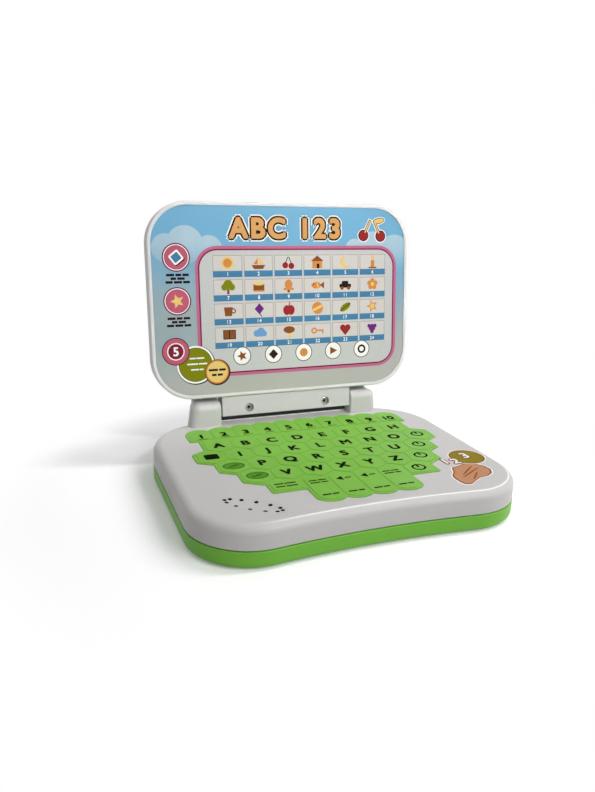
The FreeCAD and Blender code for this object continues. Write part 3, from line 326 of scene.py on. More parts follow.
@dataclass(frozen=True)
class DeckPlastic(MouldedPlastic):
    """The plastic of the deck, with a painted highlight along its front edge and painted shade in the holes
    of the speaker's dish.
    """

    dish_middle: Point = (-62.2, -53.5)
    dish_turn: float = -39.0
    dish_low: float = 22.5
    dish_length: float = 36.0
    dish_width: float = 14.0
    deck_level: float = 23.4
    dish_rim: Point = (0.8, 0.9)
    # depth below the dish's surface over which the painted shade of the holes comes in
    hole_depth: Point = (0.06, 0.16)
    # painted highlight along the deck's front edge: its height band, where it fades in at the left and
    # back, and its breakup
    highlight_low: float = 22.75
    highlight_high: float = 23.3
    highlight_right: Point = (-10.0, 26.0)
    highlight_back: Point = (0.0, 30.0)
    highlight_least: float = 0.7
    highlight_more: float = 0.4
    highlight_patch: float = 9.0
    # the colour of the painted shade in the holes, then the colour of the painted highlight on the edge
    dark: Colour = linear(14, 14, 15)
    painted_highlight: Colour = linear(250, 249, 247)

    def tone(self, graph: Graph, colour: Wire) -> Wire:
        """Paint shade into what lies under the surface of the dish, and paint a pale highlight along the
        front edge.

        Args:
            graph: The graph of the material.
            colour: The plastic's own colour.

        Returns:
            The colour that shows.
        """
        turn = math.radians(self.dish_turn)
        right = graph.axis("X") * (1 / MM) - self.dish_middle[0]
        back = graph.axis("Y") * (1 / MM) - self.dish_middle[1]
        along = (right * math.cos(turn) + back * math.sin(turn)) * (2 / self.dish_length)
        across = (back * math.cos(turn) - right * math.sin(turn)) * (2 / self.dish_width)
        bowl = (along * along + across * across) * (self.deck_level - self.dish_low)
        height = graph.axis("Z") * (1 / MM)
        dish = 1 - bowl.rise(*self.dish_rim)
        # painted shade: the holes below the dish's surface are darkened towards the dark colour
        under = (self.dish_low + bowl - height).rise(*self.hole_depth) * dish
        # painted highlight: a pale line along the top of the deck's edge, on the front half, fading at the
        # left, broken up by noise
        middle = (self.highlight_low + self.highlight_high) / 2
        edge = height.rise(self.highlight_low, middle) * (1 - height.rise(middle, self.highlight_high))
        front = right.rise(*self.highlight_right) * (1 - back.rise(*self.highlight_back))
        highlight_breakup = self.highlight_least + self.highlight_more * graph.noise(self.highlight_patch)
        painted_highlight_mask = edge * front * (1 - dish) * highlight_breakup
        return graph.blend(graph.blend(colour, self.painted_highlight, painted_highlight_mask), self.dark, under)


@dataclass(frozen=True)
class SoftRubber:
    """A matt rubber or foam, with pores."""

    name: str
    colour: Colour
    shade: Colour
    pore: float
    depth: float

    def material(self) -> bpy.types.Material:
        """Make the rubber.

        Returns:
            The material.
        """
        graph = Graph(bpy.data.materials.new(self.name))
        pores = graph.cells(self.pore, "F1").rise(0.1, 0.55)
        dust = graph.noise(5.0, 4.0)
        return graph.close(
            Base_Color=graph.blend(self.shade, self.colour, pores * 0.7 + dust * 0.3),
            Roughness=0.72 + 0.2 * (dust - 0.5), Normal=graph.bump(pores, self.depth))


@dataclass(frozen=True)
class LidPlane:
    """The plane of the open lid, measured from the hinge axis."""

    axis_y: float = 71.3
    axis_z: float = 32.4
    lean: float = 83.3

    def matrix(self, height: float) -> Matrix:
        """Give the place of a print on the lid.

        Args:
            height: The height of the print over the hinge axis, square to the lid.

        Returns:
            The matrix from millimetres in the plane to metres in the frame.
        """
        shift = Matrix.Translation((0, self.axis_y * MM, self.axis_z * MM))
        tilt = Matrix.Rotation(math.radians(self.lean), 4, "X")
        return shift @ tilt @ Matrix.Scale(MM, 4) @ Matrix.Translation((0, 0, height))

    def up(self, graph: Graph) -> Wire:
        """Measure up the lid from its hinge.

        Args:
            graph: The graph of the material.

        Returns:
            The distance, in millimetres.
        """
        turn = math.radians(self.lean)
        rise = (0, math.cos(turn) / MM, math.sin(turn) / MM)
        start = self.axis_y * math.cos(turn) + self.axis_z * math.sin(turn)
        along = graph.node("ShaderNodeVectorMath", {"operation": "DOT_PRODUCT"},
                           {0: graph.place(), 1: rise}, "Value")
        return along - start


@dataclass(frozen=True)
class PlatedMetal:
    """A drawn and plated metal with fine lines along one axis."""

    name: str
    colour: Colour
    stain: Colour
    roughness: float
    lines: Spot = (1.0, 6.0, 6.0)

    def tone(self, graph: Graph, colour: Wire) -> Wire:
        """Give the colour that shows, which is the metal's own."""
        return colour

    def material(self) -> bpy.types.Material:
        """Make the metal.

        Returns:
            The material.
        """
        graph = Graph(bpy.data.materials.new(self.name))
        drawn = graph.noise(0.9, 3.0, self.lines)
        cloud = graph.noise(4.0, 4.0).rise(0.45, 0.8)
        colour = graph.blend(self.colour, self.stain, cloud * 0.6)
        return graph.close(
            Base_Color=self.tone(graph, colour), Metallic=1.0,
            Roughness=self.roughness + 0.18 * (drawn - 0.5) + 0.1 * cloud,
            Normal=graph.bump(drawn, 0.01))


@dataclass(frozen=True)
class HingeScrewSteel(PlatedMetal):
    """The plated steel of the two hinge screws, with painted shade in the cross recess of each head."""

    plane: LidPlane = LidPlane()
    step: float = 27.2
    rise: float = 0.9
    # painted shade in the cross recess of each head, from the inner to the outer radius
    recess_shade: Colour = linear(24, 23, 22)
    recess_shade_inner: float = 0.7
    recess_shade_outer: float = 1.55

    def tone(self, graph: Graph, colour: Wire) -> Wire:
        """Paint shade into the middle of each head, where the cross recess is.

        Args:
            graph: The graph of the material.
            colour: The metal's own colour.

        Returns:
            The colour that shows.
        """
        up = self.plane.up(graph) - self.rise
        side = graph.axis("X").size() * (1 / MM) - self.step
        away = side * side + up * up
        unshaded = away.rise(self.recess_shade_inner ** 2, self.recess_shade_outer ** 2)
        return graph.blend(self.recess_shade, colour, unshaded)


@dataclass(frozen=True)
class KeySheetPlastic:
    """The printed green sheet over the keys."""

    name: str = "key_sheet_green"
    colour: Colour = linear(122, 184, 62)
    shade: Colour = linear(112, 172, 54)
    vein: Colour = linear(100, 160, 48)

    def material(self) -> bpy.types.Material:
        """Make the sheet, a satin film with fine streaks along its roll.

        Returns:
            The material.
        """
        graph = Graph(bpy.data.materials.new(self.name))
        cloud = graph.noise(22.0, 3.0)
        weave = graph.noise(0.6, 2.0)
        streak = graph.noise(3.5, 3.0, (1.0, 0.12, 1.0)).rise(0.56, 0.76)
        base = graph.blend(self.colour, self.shade, cloud * 0.7)
        return graph.close(
            Base_Color=graph.blend(base, self.vein, streak * 0.3 + weave * 0.12),
            Roughness=0.46 + 0.14 * (cloud - 0.5), Specular_IOR_Level=0.3,
            Normal=graph.bump(weave, 0.01))


@dataclass(frozen=True)
class SkyCard:
    """The printed card of the lid: a sky that pales to a warm grey."""

    plane: LidPlane
    name: str = "picture_card_sky"
    sky: Colour = linear(85, 155, 191)
    haze: Colour = linear(138, 155, 159)
    ground: Colour = linear(169, 167, 160)
    cloud: Colour = linear(173, 192, 199)
    puffs: tuple[Spot, ...] = ((-78.0, 104.0, 9.0), (-66.0, 106.0, 12.0), (-51.0, 103.0, 9.0),
                               (49.0, 103.0, 7.0), (63.0, 104.0, 11.0), (79.0, 100.0, 13.0))
    puff_core: float = 0.84
    cloud_band: Point = (86.0, 110.0)
    sky_band: Point = (52.0, 112.0)
    sky_slant: float = 0.06
    ground_band: Point = (14.0, 62.0)
    ground_slant: float = 0.08

    def cover(self, across: Wire, height: Wire) -> Wire:
        """Give the cover of the clouds, each a row of round puffs that thins downwards.

        Args:
            across: The place across the card, in millimetres.
            height: The place up the card, in millimetres.

        Returns:
            The cover, from 0 to 1.
        """
        clear: Operand = 1.0
        for u, v, radius in self.puffs:
            right = across - u
            over = height - v
            clear = (right * right + over * over).rise(self.puff_core * radius ** 2, radius ** 2) * clear
        return (1 - clear) * height.rise(*self.cloud_band)

    def material(self) -> bpy.types.Material:
        """Make the card.

        Returns:
            The material.
        """
        graph = Graph(bpy.data.materials.new(self.name))
        height = self.plane.up(graph)
        across = graph.axis("X") * (1 / MM)
        fibre = graph.noise(0.5, 2.0)
        upper = (height + across * self.sky_slant).rise(*self.sky_band)
        lower = (height - across * self.ground_slant).rise(*self.ground_band)
        paler = graph.blend(self.haze, self.sky, upper)
        print_colour = graph.blend(self.ground, paler, lower)
        drift = 0.5 + 0.5 * graph.noise(18.0, 3.0)
        cloudy = graph.blend(print_colour, self.cloud, self.cover(across, height) * drift)
        return graph.close(
            Base_Color=graph.blend(cloudy, self.cloud, fibre * 0.08),
            Roughness=0.42 + 0.1 * (fibre - 0.5), Normal=graph.bump(fibre, 0.006),
            Coat_Weight=0.15, Coat_Roughness=0.25)


@dataclass(frozen=True)
class PrintInk:
    """A screen printed ink with a fine dot in it."""

    name: str
    colour: Colour
    pitch: float = 0.32
    open_gain: float = 1.18
    open_lift: float = 0.006

    def material(self) -> bpy.types.Material:
        """Make the ink, a little paler where its dots open.

        Returns:
            The material.
        """
        graph = Graph(bpy.data.materials.new(self.name))
        turn = 2 * math.pi / (self.pitch * MM)
        across = (graph.axis("X") * turn).sine()
        along = ((graph.axis("Y") + graph.axis("Z")) * turn).sine()
        dots = (across * along).rise(-0.2, 0.9)
        wear = graph.noise(2.6, 4.0).rise(0.5, 0.9)
        paler = tuple(part * self.open_gain + self.open_lift for part in self.colour)
        return graph.close(
            Base_Color=graph.blend(self.colour, paler, dots * 0.4 + wear * 0.5),
            Roughness=0.58 + 0.12 * (wear - 0.5), Specular_IOR_Level=0.0,
            Normal=graph.bump(wear, 0.004))


@dataclass(frozen=True)
class CircuitBoard:
    """A brown paper board with copper tracks under its lacquer."""

    name: str
    board: Colour
    track: Colour
    pitch: float
    metal: float

    def material(self) -> bpy.types.Material:
        """Make the board.

        Returns:
            The material.
        """
        graph = Graph(bpy.data.materials.new(self.name))
        edge = graph.node("ShaderNodeTexVoronoi", {"feature": "DISTANCE_TO_EDGE"},
                          {"Vector": graph.place(), "Scale": 1 / (self.pitch * MM),
                           "Randomness": 0.6}, "Distance")
        tracks = 1 - edge.rise(0.08, 0.12)
        fibre = graph.noise(0.7, 3.0, (1.0, 4.0, 1.0))
        colour = graph.blend(self.board, self.track, tracks * 0.8)
        return graph.close(
            Base_Color=graph.blend(colour, self.board, fibre * 0.2), Metallic=tracks * self.metal,
            Roughness=0.5 + 0.15 * (fibre - 0.5), Normal=graph.bump(tracks, 0.03))


@dataclass(frozen=True)
class FibreSheet:
    """Pressed paper with fibres and flecks, as a speaker cone has."""

    name: str
    colour: Colour
    shade: Colour

    def material(self) -> bpy.types.Material:
        """Make the paper.

        Returns:
            The material.
        """
        graph = Graph(bpy.data.materials.new(self.name))
        fibre = graph.noise(0.8, 4.0, (3.0, 1.0, 1.0))
        fleck = graph.noise(2.2, 3.0).rise(0.5, 0.75)
        return graph.close(
            Base_Color=graph.blend(self.colour, self.shade, fibre * 0.5 + fleck * 0.4),
            Roughness=0.8 + 0.15 * (fibre - 0.5), Normal=graph.bump(fibre, 0.05))


@dataclass(frozen=True)
class CellJacket:
    """The foil sleeve of the dry cells, with a band at one end."""

    low: float
    high: float
    name: str = "cell_jacket_foil"
    sleeve: Colour = linear(60, 66, 74)
    band: Colour = linear(196, 158, 92)
    share: float = 0.3
    soft: float = 0.005

    def material(self) -> bpy.types.Material:
        """Make the sleeve.

        Returns:
            The material.
        """
        graph = Graph(bpy.data.materials.new(self.name))
        along = (graph.axis("X") - self.low) * (1 / (self.high - self.low))
        ring = 1 - along.rise(self.share - self.soft, self.share + self.soft)
        scuff = graph.noise(2.0, 4.0, (0.3, 1.0, 1.0)).rise(0.52, 0.85)
        return graph.close(
            Base_Color=graph.blend(self.sleeve, self.band, ring), Metallic=0.35 + 0.4 * ring,
            Roughness=0.3 + 0.3 * scuff, Normal=graph.bump(scuff, 0.01))


@dataclass(frozen=True)
class ClearFilm:
    """A thin clear film, a little cloudy."""

    name: str
    tint: Colour
    cloud: Colour = linear(236, 240, 238)

    def material(self) -> bpy.types.Material:
        """Make the film.

        Returns:
            The material.
        """
        graph = Graph(bpy.data.materials.new(self.name))
        haze = graph.noise(6.0, 4.0)
        return graph.close(
            Base_Color=graph.blend(self.tint, self.cloud, haze * 0.6),
            Roughness=0.2 + 0.2 * haze, Alpha=0.35 + 0.2 * haze, Normal=graph.bump(haze, 0.01))


def dress(node: str, finish: Finish) -> None:
    """Give a solid of the frame its finish.

    Args:
        node: The node's name.
        finish: What its surface is made of.
    """
    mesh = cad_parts[node].data
    mesh.materials.clear()
    mesh.materials.append(finish.material())
    log.info("dressed %s in %s", node, mesh.materials[0].name)


class Ink(Enum):
    """The printing inks, in steps of 0 to 255."""

    PAPER = (196, 192, 187)
    PANEL = (186, 187, 185)
    WHITE = (232, 230, 226)
    TAUPE = (164, 150, 138)
    PINK = (184, 101, 133)
    PLUM = (118, 36, 64)
    LABEL = (70, 121, 157)
    BLUE = (104, 150, 196)
    ORANGE = (202, 133, 67)
    TITLE = (206, 154, 94)
    YELLOW = (218, 186, 112)
    BROWN = (132, 76, 40)
    UMBER = (40, 28, 26)
    RED = (146, 44, 46)
    ROSE = (186, 89, 110)
    MAROON = (124, 36, 60)
    PURPLE = (104, 44, 116)
    OLIVE = (121, 124, 22)
    MUSTARD = (140, 124, 48)
    SALMON = (190, 138, 104)
    MOSS = (84, 140, 46)
    LEGEND = (14, 24, 10)


class Form(Enum):
    """The shapes that a stroke of print may have."""

    BLOB = "blob"
    BLOCK = "block"
    BURST = "burst"
    LOOP = "loop"
    PATCH = "patch"


@dataclass(frozen=True)
class Stroke:
    """One flat printed shape, in millimetres."""

    form: Form
    ink: Ink
    u: float = 0.0
    v: float = 0.0
    width: float = 1.0
    height: float = 1.0
    turn: float = 0.0
    corner: float = 0.0
    points: int = 5
    share: float = 0.45
    outline: tuple[Point, ...] = ()

    def shape(self) -> bmesh.types.BMesh:
        """Make the flat shape about its own middle.

        Returns:
            A mesh of one or more faces at height 0.
        """
        mesh = bmesh.new()
        if self.form is Form.PATCH:
            corners = [mesh.verts.new((u, v, 0)) for u, v in self.outline]
            bmesh.ops.contextual_create(mesh, geom=corners)
            return mesh
        if self.form is Form.BLOCK:
            bmesh.ops.create_grid(mesh, x_segments=1, y_segments=1, size=0.5)
        else:
            steps = 2 * self.points if self.form is Form.BURST else ROUND_STEPS
            bmesh.ops.create_circle(mesh, cap_ends=True, segments=steps, radius=0.5)
        if self.form is Form.BURST:
            bmesh.ops.scale(mesh, verts=mesh.verts[:][1::2], vec=(self.share, self.share, 1))
        bmesh.ops.scale(mesh, verts=mesh.verts, vec=(self.width, self.height, 1))
        if self.corner:
            bmesh.ops.bevel(mesh, geom=mesh.verts[:], offset=self.corner, offset_type="OFFSET",
                            segments=CORNER_STEPS, profile=0.5, affect="VERTICES", material=-1)
        if self.form is Form.LOOP:
            middle = mesh.faces[:]
            bmesh.ops.inset_region(mesh, faces=middle, thickness=self.share, use_boundary=True,
                                   use_even_offset=True)
            bmesh.ops.delete(mesh, geom=middle, context="FACES")
        return mesh


def blob(ink: Ink, u: float, v: float, width: float, height: float = 0.0, turn: float = 0.0) -> Stroke:
    """Describe a round or oval."""
    return Stroke(Form.BLOB, ink, u, v, width, height or width, turn)


def block(ink: Ink, u: float, v: float, width: float, height: float, turn: float = 0.0,
          corner: float = 0.0) -> Stroke:
    """Describe a bar, with or without rounded corners."""
    return Stroke(Form.BLOCK, ink, u, v, width, height, turn, corner)


def burst(ink: Ink, u: float, v: float, width: float, points: int, share: float) -> Stroke:
    """Describe a star that stands on two of its points."""
    return Stroke(Form.BURST, ink, u, v, width, width, 90.0, points=points, share=share)


def loop(ink: Ink, u: float, v: float, width: float, line: float, height: float = 0.0) -> Stroke:
    """Describe a ring."""
    return Stroke(Form.LOOP, ink, u, v, width, height or width, share=line)


def patch(ink: Ink, *outline: Point) -> Stroke:
    """Describe a shape with straight sides."""
    return Stroke(Form.PATCH, ink, outline=outline)


class Motif(Enum):
    """Plain little pictures for the cells of the card."""

    SUN = (burst(Ink.YELLOW, 0, 0, 9.4, 12, 0.72), blob(Ink.ORANGE, 0, 0, 5.6))
    BOAT = (patch(Ink.BROWN, (-4.6, -1.4), (-3, -3.9), (3, -3.9), (4.6, -1.4)),
            patch(Ink.YELLOW, (0.3, -0.9), (4, -0.9), (0.3, 4.2)),
            patch(Ink.ORANGE, (-0.4, -0.9), (-0.4, 3.2), (-3.4, -0.9)))
    CHERRY = (blob(Ink.RED, -2.1, -1.8, 4), blob(Ink.RED, 2.1, -2.2, 4),
              block(Ink.UMBER, -1.1, 1.6, 0.5, 4.2, -24), block(Ink.UMBER, 1.2, 1.4, 0.5, 4.6, 22))
    HOUSE = (block(Ink.ORANGE, 0, -1.6, 7, 4.8), patch(Ink.BROWN, (-4.6, 0.7), (4.6, 0.7), (0, 4.3)),
             block(Ink.UMBER, 0.6, -2.5, 1.8, 3))
    MOON = (blob(Ink.YELLOW, 0, 0, 8), blob(Ink.PAPER, 1.9, 0.8, 6.6))
    CANDLE = (block(Ink.ORANGE, 0, -1.6, 2.8, 5.2), blob(Ink.YELLOW, 0, 2.8, 1.9, 3.2),
              block(Ink.BROWN, 0, -4, 6, 0.9))
    TREE = (block(Ink.BROWN, 0, -2.8, 1.6, 3.2), blob(Ink.OLIVE, 0, 1.5, 6.2),
            blob(Ink.OLIVE, -2.4, 0, 4.2), blob(Ink.OLIVE, 2.4, 0, 4.2))
    DRUM = (block(Ink.BROWN, 0, -0.7, 7.4, 4.6), blob(Ink.YELLOW, 0, 1.8, 7.4, 2.2),
            block(Ink.ORANGE, 0, -2.8, 7.4, 0.9))
    BELL = (blob(Ink.ORANGE, 0, 0.9, 5.4, 6.4), block(Ink.ORANGE, 0, -2, 7.2, 1.6, 0, 0.7),
            blob(Ink.BROWN, 0, -3.4, 1.9))
    FISH = (blob(Ink.ORANGE, -0.8, 0, 7, 4.4), patch(Ink.BROWN, (1.9, 0), (4.8, -2.4), (4.8, 2.4)),
            blob(Ink.UMBER, -2.6, 0.6, 0.9), block(Ink.YELLOW, 0.1, 0, 0.7, 3.4, 12))
    CAR = (block(Ink.UMBER, 0, -0.8, 8.6, 2.6, 0, 0.8), block(Ink.UMBER, -0.2, 1.2, 4.8, 2.4, 0, 0.8),
           blob(Ink.BROWN, -2.4, -2.3, 2.4), blob(Ink.BROWN, 2.4, -2.3, 2.4))
    FLOWER = (blob(Ink.ORANGE, 0, 2.4, 3.2), blob(Ink.ORANGE, 2.3, 0.7, 3.2),
              blob(Ink.ORANGE, 1.4, -2, 3.2), blob(Ink.ORANGE, -1.4, -2, 3.2),
              blob(Ink.ORANGE, -2.3, 0.7, 3.2), blob(Ink.YELLOW, 0, 0, 2.6))
    CUP = (patch(Ink.BROWN, (-3.2, 2.4), (-2.5, -3.2), (1.9, -3.2), (2.6, 2.4)),
           loop(Ink.BROWN, 3, 0, 3.4, 0.8))
    KITE = (patch(Ink.PURPLE, (0, 4.4), (-3.2, 0.8), (0, -2.8), (3.2, 0.8)),
            block(Ink.UMBER, 1, -3.4, 0.5, 2.6, 38))
    APPLE = (blob(Ink.RED, -1.4, -0.7, 5.2, 6.4), blob(Ink.RED, 1.4, -0.7, 5.2, 6.4),
             block(Ink.BROWN, 0.3, 3.2, 0.7, 2.4, -12))
    BALL = (blob(Ink.ORANGE, 0, 0, 8), block(Ink.YELLOW, 0, 0, 7.7, 1.7, 24))
    LEAF = (blob(Ink.OLIVE, 0, 0, 8.8, 4.4, 35), block(Ink.UMBER, 0, 0, 9, 0.5, 35))
    STAR = (burst(Ink.ORANGE, 0, 0, 9.2, 5, 0.42), burst(Ink.YELLOW, 0, 0, 5.4, 5, 0.42))
    BOOK = (block(Ink.UMBER, 0, 0, 8.4, 6), block(Ink.BROWN, -2, 0, 3.4, 5), block(Ink.BROWN, 2, 0, 3.4, 5))
    CLOUD = (blob(Ink.BLUE, -2.2, 0, 4.2), blob(Ink.BLUE, 0.8, 0.9, 5.4), blob(Ink.BLUE, 3, -0.3, 3.6),
             block(Ink.BLUE, 0.4, -1.3, 7.8, 1.8, 0, 0.9))
    MUSHROOM = (block(Ink.YELLOW, 0, -2, 2.6, 4, 0, 0.5), blob(Ink.BROWN, 0, 1.4, 8, 4.6))
    KEY = (loop(Ink.ORANGE, -2.6, 0, 4.2, 1.1), block(Ink.ORANGE, 1.9, 0, 5, 1.1),
           block(Ink.ORANGE, 3.6, -1.2, 1, 2))
    HEART = (blob(Ink.RED, -1.8, 1.1, 4.2), blob(Ink.RED, 1.8, 1.1, 4.2),
             patch(Ink.RED, (-3.6, 0.1), (0, -4.2), (3.6, 0.1), (0, 1.8)))
    GRAPES = (blob(Ink.PURPLE, -2.2, 1.4, 2.7), blob(Ink.PURPLE, 0, 1.4, 2.7),
              blob(Ink.PURPLE, 2.2, 1.4, 2.7), blob(Ink.PURPLE, -1.1, -0.5, 2.7),
              blob(Ink.PURPLE, 1.1, -0.5, 2.7), blob(Ink.PURPLE, 0, -2.4, 2.7))


@dataclass
class PrintSheet:
    """Flat printed shapes in one plane, gathered into one mesh for each ink."""

    name: str
    place: Matrix
    body: Body
    slot: str
    step: float = 0.012
    sunk: float = 0.01
    meshes: dict[Ink, bmesh.types.BMesh] = field(default_factory=dict)

    def add(self, ink: Ink, shape: bmesh.types.BMesh, at: Matrix, level: int) -> None:
        """Thicken a flat shape and add it to the mesh of its ink.

        Args:
            ink: The ink.
            shape: The flat shape, which is used up.
            at: Its place in the plane.
            level: How many films of ink lie under it.
        """
        bmesh.ops.translate(shape, verts=shape.verts, vec=(0, 0, -self.sunk))
        grown = bmesh.ops.extrude_face_region(shape, geom=shape.faces[:])
        upper = [part for part in grown["geom"] if isinstance(part, bmesh.types.BMVert)]
        bmesh.ops.translate(shape, verts=upper, vec=(0, 0, self.sunk + (level + 1) * self.step))
        bmesh.ops.transform(shape, matrix=self.place @ at, verts=shape.verts)
        bmesh.ops.recalc_face_normals(shape, faces=shape.faces)
        carrier = bpy.data.meshes.new(self.name)
        shape.to_mesh(carrier)
        shape.free()
        self.meshes.setdefault(ink, bmesh.new()).from_mesh(carrier)
        bpy.data.meshes.remove(carrier)

    def draw(self, stroke: Stroke, level: int, u: float = 0.0, v: float = 0.0, scale: float = 1.0) -> None:
        """Print one stroke.

        Args:
            stroke: The shape.
            level: How many films of ink lie under it.
            u: The place across that its own place is counted from.
            v: The place up that its own place is counted from.
            scale: How much larger than written it is.
        """
        at = Matrix.Translation((u + stroke.u * scale, v + stroke.v * scale, 0))
        turn = Matrix.Rotation(math.radians(stroke.turn), 4, "Z")
        self.add(stroke.ink, stroke.shape(), at @ turn @ Matrix.Diagonal((scale, scale, 1, 1)), level)

    def motif(self, motif: Motif, level: int, u: float, v: float, scale: float = 1.0) -> None:
        """Print a small picture, stroke over stroke."""
        for order, stroke in enumerate(motif.value):
            self.draw(stroke, level + order, u, v, scale)

    def glyphs(self, text: str, size: float, spacing: float) -> bmesh.types.BMesh:
        """Make flat letters or numbers about their own middle.

        Args:
            text: What they say.
            size: The height of a capital.
            spacing: How far apart they stand.

        Returns:
            A mesh of their faces at height 0.
        """
        curve = bpy.data.curves.new(self.name, "FONT")
        curve.body = text
        curve.size = size / CAPITAL_SHARE
        curve.space_character = spacing
        curve.resolution_u = LETTER_STEPS
        holder = bpy.data.objects.new(self.name, curve)
        bpy.context.scene.collection.objects.link(holder)
        graph = bpy.context.evaluated_depsgraph_get()
        flat = bpy.data.meshes.new_from_object(holder.evaluated_get(graph))
        shape = bmesh.new()
        shape.from_mesh(flat)
        bpy.data.objects.remove(holder)
        bpy.data.curves.remove(curve)
        bpy.data.meshes.remove(flat)
        bmesh.ops.remove_doubles(shape, verts=shape.verts, dist=WELD)
        low = Vector([min(vert.co[axis] for vert in shape.verts) for axis in range(3)])
        high = Vector([max(vert.co[axis] for vert in shape.verts) for axis in range(3)])
        bmesh.ops.translate(shape, verts=shape.verts, vec=-(low + high) / 2)
        return shape

    def words(self, ink: Ink, text: str, level: int, u: float, v: float, size: float,
              pen: float, strikes: int = 4, spacing: float = 1.0) -> int:
        """Print letters or numbers, centred on a point.

        Args:
            ink: The ink.
            text: What to print.
            level: How many films of ink lie under it.
            u: The middle across.
            v: The middle up.
            size: The height of a capital.
            pen: How far the strokes are fattened, by printing them in a ring.
            strikes: How many times the ring prints them.
            spacing: How far apart the letters stand.

        Returns:
            The level over the print.
        """
        shape = self.glyphs(text, size, spacing)
        for strike in range(strikes):
            turn = 2 * math.pi * (strike + 0.5) / strikes
            at = Matrix.Translation((u + pen * math.cos(turn), v + pen * math.sin(turn), 0))
            self.add(ink, shape.copy(), at, level + strike)
        shape.free()
        return level + strikes

    def small_print(self, ink: Ink, level: int, u: float, v: float, words: Sequence[float],
                    height: float) -> None:
        """Print a row of short bars, as small print looks from afar.

        Args:
            ink: The ink.
            level: How many films of ink lie under it.
            u: The middle across.
            v: The middle up.
            words: The length of each bar.
            height: The height of the bars, which is also what parts them.
        """
        start = u - (sum(words) + height * (len(words) - 1) / 2) / 2
        for word in words:
            self.draw(block(ink, start + word / 2, v, word, height), level)
            start += word + height / 2

    def small_lines(self, ink: Ink, level: int, u: float, v: float, lines: Sequence[Sequence[float]],
                    height: float, pitch: float) -> None:
        """Print rows of short bars under each other.

        Args:
            ink: The ink.
            level: How many films of ink lie under it.
            u: The middle across.
            v: The middle of the first row.
            lines: The lengths of each row's bars.
            height: The height of the bars.
            pitch: How far apart the rows stand.
        """
        for row, words in enumerate(lines):
            self.small_print(ink, level, u, v - pitch * row, words, height)

    def finish(self, inks: dict[Ink, Finish]) -> None:
        """Make one piece of each ink's mesh.

        Args:
            inks: The finish of each ink.
        """
        for ink, shape in self.meshes.items():
            name = f"{self.name}_{ink.name.lower()}"
            mesh = bpy.data.meshes.new(name)
            shape.to_mesh(mesh)
            shape.free()
            mesh.materials.append(inks[ink].material())
            piece = bpy.data.objects.new(name, mesh)
            bpy.context.scene.collection.objects.link(piece)
            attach(piece, self.body.value)
            log.info("printed %s with %d faces", name, len(mesh.polygons))


def ink_finishes(prefix: str) -> dict[Ink, Finish]:
    """Give a finish for every ink.

    Args:
        prefix: What the names of the materials start with.

    Returns:
        The finishes.
    """
    return {ink: PrintInk(f"{prefix}_{ink.name.lower()}", linear(*ink.value)) for ink in Ink}


